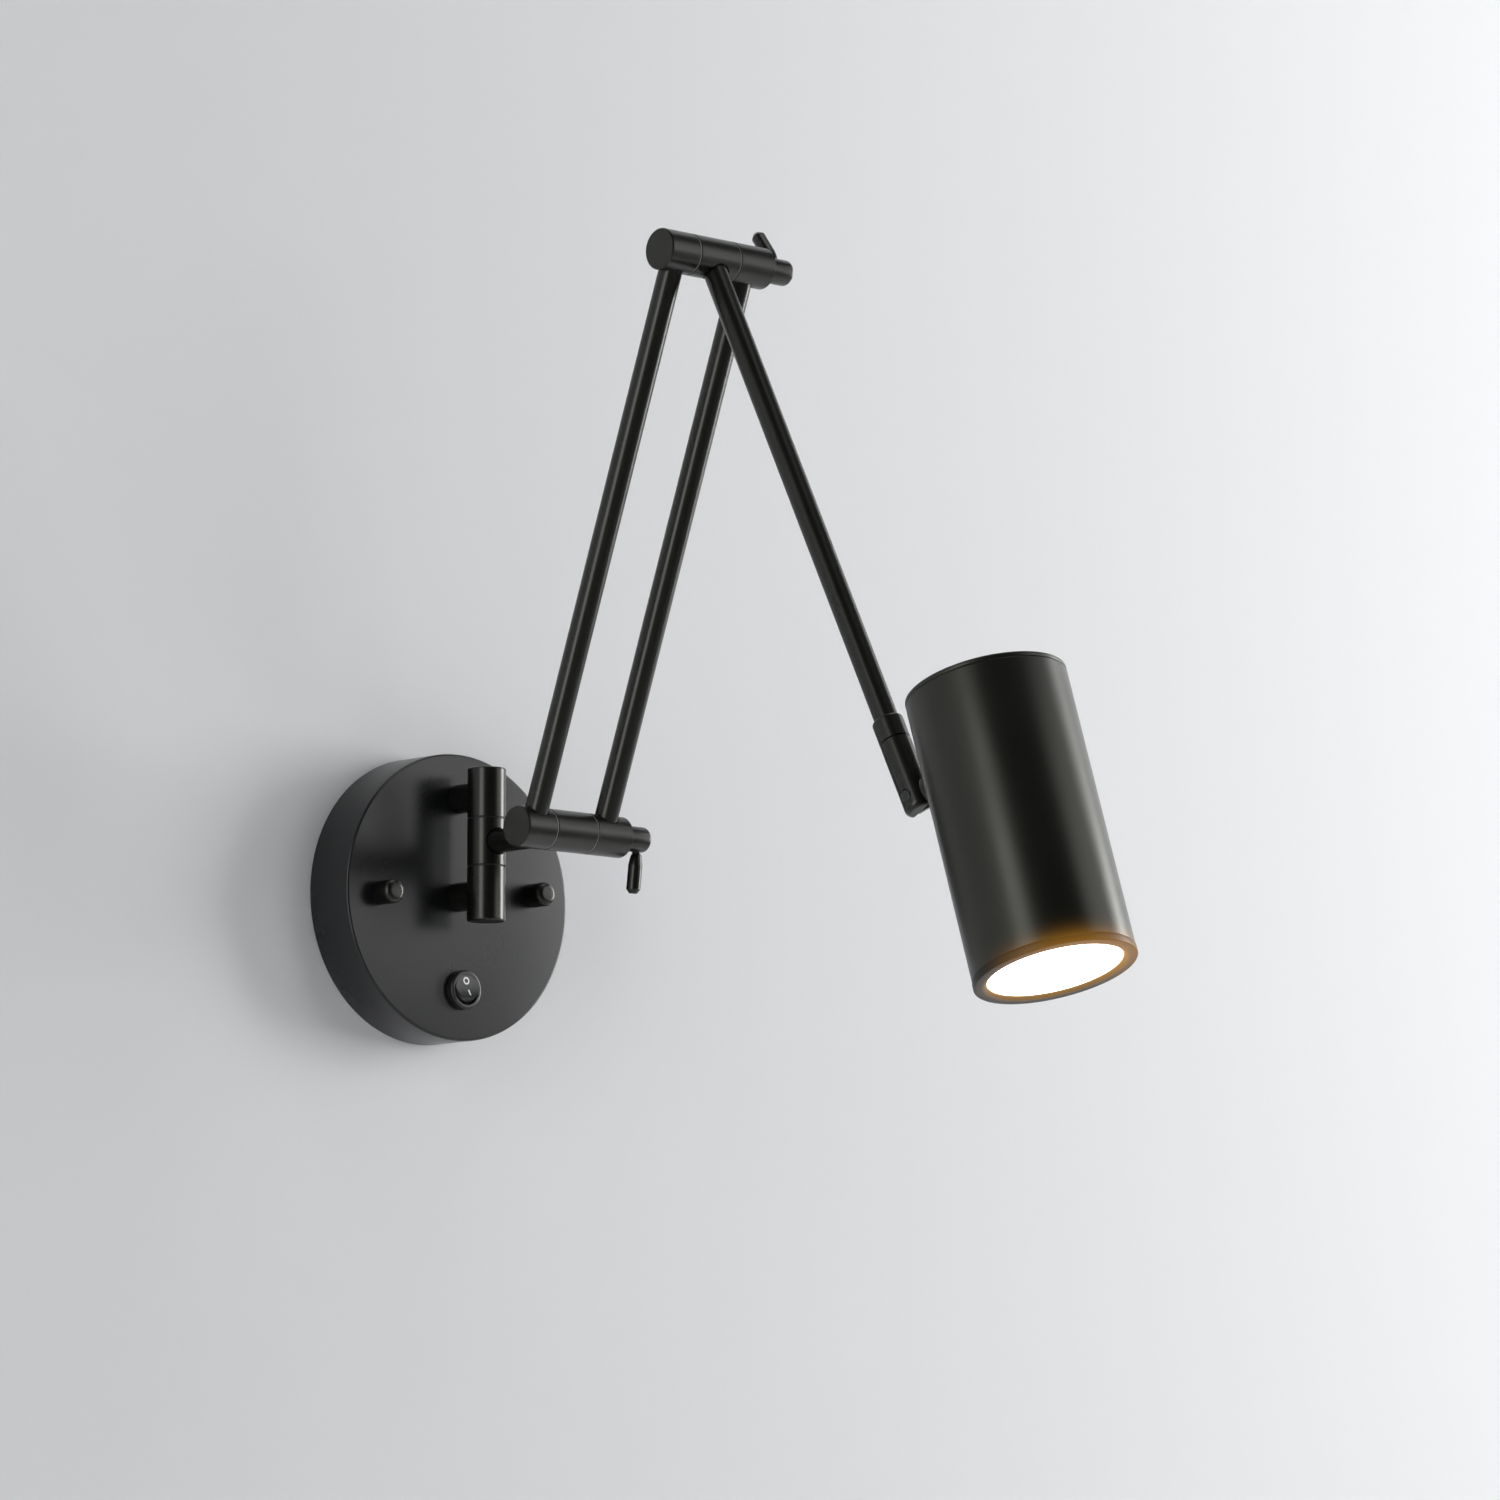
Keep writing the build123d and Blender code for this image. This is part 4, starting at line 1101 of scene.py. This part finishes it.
@dataclass
class Arms(Assembly):
    """The barrel, hubs, rods and forearm."""

    tube_radius: float = 4.9
    socket_floor: float = 4.6
    forearm_end: float = 230.7

    def build(self, tubes: GeometryTree) -> None:
        """Builds the tubes and dresses the turned hub and barrel lengths.

        Args:
            tubes: the tree that draws them.
        """
        coat = self.finishes["black_coat"]
        left = LAYOUT.lower_hub - ACROSS * (LAYOUT.rod_pitch / 2.0)
        runs = (
            ("arm_stub_tube", Body.SWIVEL, LAYOUT.barrel, FORWARD,
             LAYOUT.stub_length - self.socket_floor, ["arm_stub"]),
            ("twin_rods", Body.LOWER_ARM, left, LAYOUT.lower_direction,
             LAYOUT.lower_arm - self.socket_floor, ["rod_left", "rod_right"]),
            ("forearm_run", Body.FOREARM, LAYOUT.upper_hub, LAYOUT.forearm_direction,
             self.forearm_end, ["forearm_tube"]),
        )
        for name, body, start, direction, end, nodes in runs:
            mesh = tubes.bake(
                name,
                bpy.data.meshes.new(f"{name}_seed"),
                Foot=(start + direction * self.socket_floor) * MM,
                Tip=(start + direction * end) * MM,
                Radius=self.tube_radius * MM,
                Count=len(nodes),
                Step=ACROSS * (LAYOUT.rod_pitch * MM),
                Material=coat,
            )
            new_piece(name, mesh, coat, body, nodes)
        hubs = [
            f"{place.value}_hub_{part}" for place in Place for part in ("left", "centre", "right")
        ]
        barrel = ("upper_post", "lower_post", "upper_barrel", "lower_barrel", "swivel_barrel")
        self.dress(
            black_coat=(*barrel, *hubs),
            washer_plastic=("barrel_washers",),
            slip_washer=("lower_hub_washers", "upper_hub_washers"),
            zinc_plate=("swivel_pin",),
        )


@dataclass
class ClampLever(Assembly):
    """A knob on a hub's right-hand end with a turned handle."""

    place: Place
    angle: float
    knob_radius: float = 5.3
    knob_length: float = 13.2
    gap: float = 0.12
    lever_offset: float = 9.5
    reach: float = 22.4
    neck: float = 1.8
    collar: float = 0.6
    grip: float = 2.95
    slimmer: tuple[float, float] = (0.75, 0.35)
    swell: tuple[float, float] = (8.2, 10.6)
    shoulder: float = 20.6
    taper: float = 1.3

    @property
    def hub(self) -> Vector:
        """Middle of the hub that it clamps."""
        return LAYOUT.lower_hub if self.place is Place.LOWER else LAYOUT.upper_hub

    @property
    def body(self) -> Body:
        """The body that it turns with."""
        return Body.LOWER_CLAMP if self.place is Place.LOWER else Body.UPPER_CLAMP

    def build(self) -> None:
        """Builds the knob and handle, and dresses the bolt."""
        label = self.place.value
        coat = self.finishes["black_coat"]
        face = self.hub + ACROSS * (LAYOUT.hub_right + self.gap)
        length = self.knob_length - self.gap
        knob = (
            (0.0, 0.0),
            (self.knob_radius, 0.0, 0.4),
            (self.knob_radius, length, 1.6),
            (0.0, length),
        )
        root = self.hub + ACROSS * (LAYOUT.hub_right + self.lever_offset)
        handle = (
            (0.0, 0.0),
            (self.neck, 0.0),
            (self.neck, self.knob_radius + self.collar),
            (self.grip - self.slimmer[0], self.knob_radius + 2.0 * self.collar, 0.5),
            (self.grip - self.slimmer[1], self.swell[0], 2.0),
            (self.grip, self.swell[1], 4.0),
            (self.grip, self.shoulder, 0.35),
            (self.grip - self.taper, self.reach, 0.35),
            (0.0, self.reach),
        )
        pieces = (
            ("knob", "knob", knob, axis_matrix(face, ACROSS, UP), 72),
            ("handle", "lever", handle, axis_matrix(root, in_arm_plane(self.angle)), 48),
        )
        for part, node, profile, place, segments in pieces:
            name = f"{label}_{part}"
            mesh = turned_mesh(name, profile, place, segments)
            new_piece(name, mesh, coat, self.body, [f"{label}_clamp_{node}"])
        self.dress(zinc_plate=(f"{label}_clamp_bolt",))


@dataclass
class Knuckle(Assembly):
    """The swivel and half-lap that carry the head."""

    def build(self) -> None:
        """Dresses the knuckle's pieces."""
        self.dress(
            black_coat=("knuckle_collar", "knuckle_sleeve", "shade_lug"),
            black_screw=("pivot_screw", "pivot_nut"),
            zinc_plate=("swivel_screw", "lug_nut"),
        )


@dataclass
class SpotHead(Assembly):
    """The cylindrical shade with its cap, bezel and lit diffuser."""

    radius: float = 31.7
    length: float = 119.1
    wall: float = 1.5
    cap: float = 2.0
    bezel_height: float = 3.0
    bezel_proud: float = 0.2
    opening: float = 52.8
    chamfer: tuple[float, float] = (1.0, 0.9)
    lip: float = 1.4
    spigot: float = 6.0
    spigot_wall: float = 1.6
    diffuser_radius: float = 27.7
    diffuser_thick: float = 2.0

    def build(self) -> None:
        """Builds the shade's skins and diffuser, and dresses what is inside."""
        bore = self.radius - self.wall
        bottom = self.length - self.bezel_height
        spigot_bore = bore - self.spigot_wall
        spigot_end = self.cap + self.spigot
        rim = self.radius + self.bezel_proud
        lens_face = self.length - self.lip
        lens_back = lens_face - self.diffuser_thick
        half = self.opening / 2.0
        skin = (
            (bore, self.cap, FINE),
            (self.radius, self.cap, 0.45),
            (self.radius, bottom, 0.5),
            (bore, bottom, FINE),
        )
        lid = (
            (0.0, 0.0),
            (self.radius, 0.0, 0.7),
            (self.radius, self.cap, 0.45),
            (bore, self.cap),
            (bore, spigot_end, FINE),
            (spigot_bore, spigot_end, FINE),
            (spigot_bore, self.cap),
            (0.0, self.cap),
        )
        bezel = (
            (bore, bottom - self.spigot, FINE),
            (bore, bottom),
            (rim, bottom, 0.5),
            (rim, self.length, 0.6),
            (half + self.chamfer[0], self.length, 0.5),
            (half, self.length - self.chamfer[1], EASED),
            (half, lens_face),
            (spigot_bore, lens_face),
            (spigot_bore, bottom - self.spigot, FINE),
        )
        lens = (
            (0.0, lens_back),
            (self.diffuser_radius, lens_back, FINE),
            (self.diffuser_radius, lens_face, FINE),
            (half, lens_face),
            (0.0, lens_face),
        )
        # The shade and bezel coats carry the painted glows round the rim.
        pieces = (
            ("shade_skin", skin, 160, True, "shade_coat", "shade_metal", "shade_tube"),
            ("shade_lid", lid, 160, False, "shade_coat", "shade_metal", "shade_cap"),
            ("rim_bezel", bezel, 160, True, "bezel_coat", "shade_metal", "bezel_ring"),
            ("opal_diffuser", lens, 128, False, "lit_diffuser", "diffuser", "diffuser"),
        )
        place = axis_matrix(LAYOUT.shade_top, LAYOUT.shade_direction)
        for name, profile, segments, closed, finish, slot, node in pieces:
            mesh = turned_mesh(name, profile, place, segments, closed)
            new_piece(name, mesh, self.finishes[finish], Body.HEAD, [node])
        self.dress(
            spun_reflector=("reflector",),
            white_plastic=("led_board",),
            cast_aluminium=("heat_sink",),
        )


# ---- the studio


@dataclass(frozen=True)
class SoftBox:
    """A rectangular light round the lamp.

    Azimuth is in degrees from straight out of the wall towards +X, elevation in degrees
    upwards, distance and size in metres. A radiance of 1 shows as plain white.
    """

    name: str
    azimuth: float
    elevation: float
    distance: float
    size: tuple[float, float]
    radiance: float

    def build(self, aim: Vector) -> None:
        """Hangs the light.

        Args:
            aim: the place that it points at, in metres.
        """
        turn, rise = math.radians(self.azimuth), math.radians(self.elevation)
        flat = Vector((math.sin(turn), -math.cos(turn), 0.0)) * math.cos(rise)
        place = aim + (flat + UP * math.sin(rise)) * self.distance
        data = bpy.data.lights.new(self.name, "AREA")
        data.shape = "RECTANGLE"
        data.size, data.size_y = self.size
        data.energy = math.pi * self.size[0] * self.size[1] * self.radiance
        light = bpy.data.objects.new(self.name, data)
        turned = (aim - place).to_track_quat("-Z", "Y").to_matrix().to_4x4()
        light.matrix_world = Matrix.Translation(place) @ turned
        bpy.context.scene.collection.objects.link(light)


@dataclass
class Studio:
    """The pale wall and floor, the lights and the camera."""

    focal_px: float = 6500.0
    frame_px: float = 1500.0
    sensor: float = 36.0
    camera_place: Triple = (-1751.6, -2066.6, -313.0)
    camera_azimuth: float = 43.20
    camera_elevation: float = 7.94
    wide: float = 6.0
    high: float = 4.0
    gap: float = 0.0003
    floor: float = -1.25
    # the wall's painted light grows across this span of x, in metres
    glow_span: tuple[float, float] = (-0.2, 0.7)
    light_aim: Triple = (0.0, -0.15, 0.05)
    air_light: float = 0.05
    air_seen: float = 0.72

    def camera(self) -> None:
        """Sets the camera as the photograph was taken."""
        turn = math.radians(self.camera_azimuth)
        rise = math.radians(self.camera_elevation)
        flat = Vector((math.sin(turn), math.cos(turn), 0.0))
        ahead = flat * math.cos(rise) + UP * math.sin(rise)
        right = Vector((math.cos(turn), -math.sin(turn), 0.0))
        above = right.cross(ahead)
        data = bpy.data.cameras.new("photo_camera")
        data.sensor_width = self.sensor
        data.lens = self.sensor * self.focal_px / self.frame_px
        data.clip_start = 0.05
        data.clip_end = 50.0
        camera = bpy.data.objects.new("photo_camera", data)
        turned = Matrix((right, above, -ahead)).transposed().to_4x4()
        camera.matrix_world = Matrix.Translation(Vector(self.camera_place) * MM) @ turned
        bpy.context.scene.collection.objects.link(camera)
        bpy.context.scene.camera = camera

    def _backdrop(
        self, name: str, corners: Sequence[Triple], tone: Color, glow: tuple[float, float]
    ) -> None:
        """Makes a one-sided plane that only the camera's side shows.

        Args:
            name: the plane's name.
            corners: its four corners in metres, facing the lamp.
            tone: its colour.
            glow: painted light that the camera and reflections see added at the two ends of
                glow_span.
        """
        mesh = bpy.data.meshes.new(name)
        mesh.from_pydata(corners, [], [(0, 1, 2, 3)])
        plane = bpy.data.objects.new(name, mesh)
        bpy.context.scene.collection.objects.link(plane)
        made = MaterialTree(f"{name}_paint")
        clear = made.node("BsdfTransparent")
        sides = made.node("NewGeometry")
        ray = made.node("LightPath").outputs
        right = made.node("SeparateXYZ", made.coordinates).outputs["X"]
        # Painted light: the glow is seen only by camera and glossy rays.
        seen = made.math("MAXIMUM", ray["Is Camera Ray"], ray["Is Glossy Ray"])
        made.shade(
            Base_Color=opaque(tone),
            Roughness=0.9,
            Specular_IOR_Level=0.2,
            Emission_Color=(0.95, 0.97, 1.0, 1.0),
            Emission_Strength=made.math("MULTIPLY", made.ramp(right, self.glow_span, glow), seen),
        )
        pick = made.node("MixShader", sides.outputs["Backfacing"], made.shader, clear)
        made.feed(made.output, Surface=pick)
        mesh.materials.append(made.material)
        plane.visible_shadow = False

    def backdrops(self) -> None:
        """Hangs the wall behind the lamp and lays the floor far below it."""
        foot = [(x, self.gap, self.floor) for x in (-self.wide, self.wide)]
        head = [(x, self.gap, self.high) for x in (self.wide, -self.wide)]
        near = [(x, -self.wide, self.floor) for x in (-self.wide, self.wide)]
        # The wall gets painted light: a glow rising towards +X, standing in for light falling more
        # on its right.
        self._backdrop("wall_backdrop", foot + head, (0.79, 0.80, 0.81), (0.0, 0.06))
        self._backdrop("floor_backdrop", near + foot[::-1], (0.78, 0.78, 0.79), (0.0, 0.0))

    def lights(self) -> None:
        """Lights the lamp with a strong box on the right and dimmer ones around it."""
        boxes = (
            SoftBox("right_box", 67.5, 4.0, 2.4, (0.64, 1.15), 13.0),
            SoftBox("side_box", 74.0, 15.0, 2.6, (1.0, 2.0), 3.4),
            SoftBox("front_box", 31.0, 18.0, 2.6, (1.35, 1.8), 1.7),
            SoftBox("left_box", -76.0, 0.5, 2.0, (0.74, 2.3), 3.5),
            SoftBox("top_box", 30.0, 74.0, 2.0, (1.2, 0.9), 1.6),
        )
        for box in boxes:
            box.build(Vector(self.light_aim))
        world = bpy.data.worlds.new("studio_air")
        world.use_nodes = True
        air = NodeBuilder(world.node_tree)
        path = air.node("LightPath")
        shown = air.node(
            "MapRange",
            Value=path.outputs["Is Camera Ray"],
            To_Min=self.air_light,
            To_Max=self.air_seen,
        )
        air.feed(
            air.tree.nodes["Background"],
            Color=(0.97, 0.98, 1.0, 1.0),
            Strength=shown,
        )
        bpy.context.scene.world = world
        bpy.context.scene.view_settings.view_transform = "Standard"

    def build(self) -> None:
        """Sets the whole studio."""
        self.camera()
        self.backdrops()
        self.lights()
        LOG.info("studio ready")


def remove_defaults() -> None:
    """Removes the start-up scene's own objects."""
    for name in ("Cube", "Light", "Camera"):
        found = bpy.data.objects.get(name)
        if found is not None:
            bpy.data.objects.remove(found)


def main() -> None:
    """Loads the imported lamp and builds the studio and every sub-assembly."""
    logging.basicConfig(level=logging.INFO, format="%(message)s")
    remove_defaults()
    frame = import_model()
    finishes = Finishes()
    copies = copies_tree()
    tubes = tubes_tree()
    Studio().build()
    Canopy(frame, finishes).build(copies)
    RockerSwitch(frame, finishes).build()
    Arms(frame, finishes).build(tubes)
    ClampLever(frame, finishes, Place.LOWER, -97.0).build()
    ClampLever(frame, finishes, Place.UPPER, 127.0).build()
    Knuckle(frame, finishes).build()
    SpotHead(frame, finishes).build()


if __name__ == "__main__":
    main()
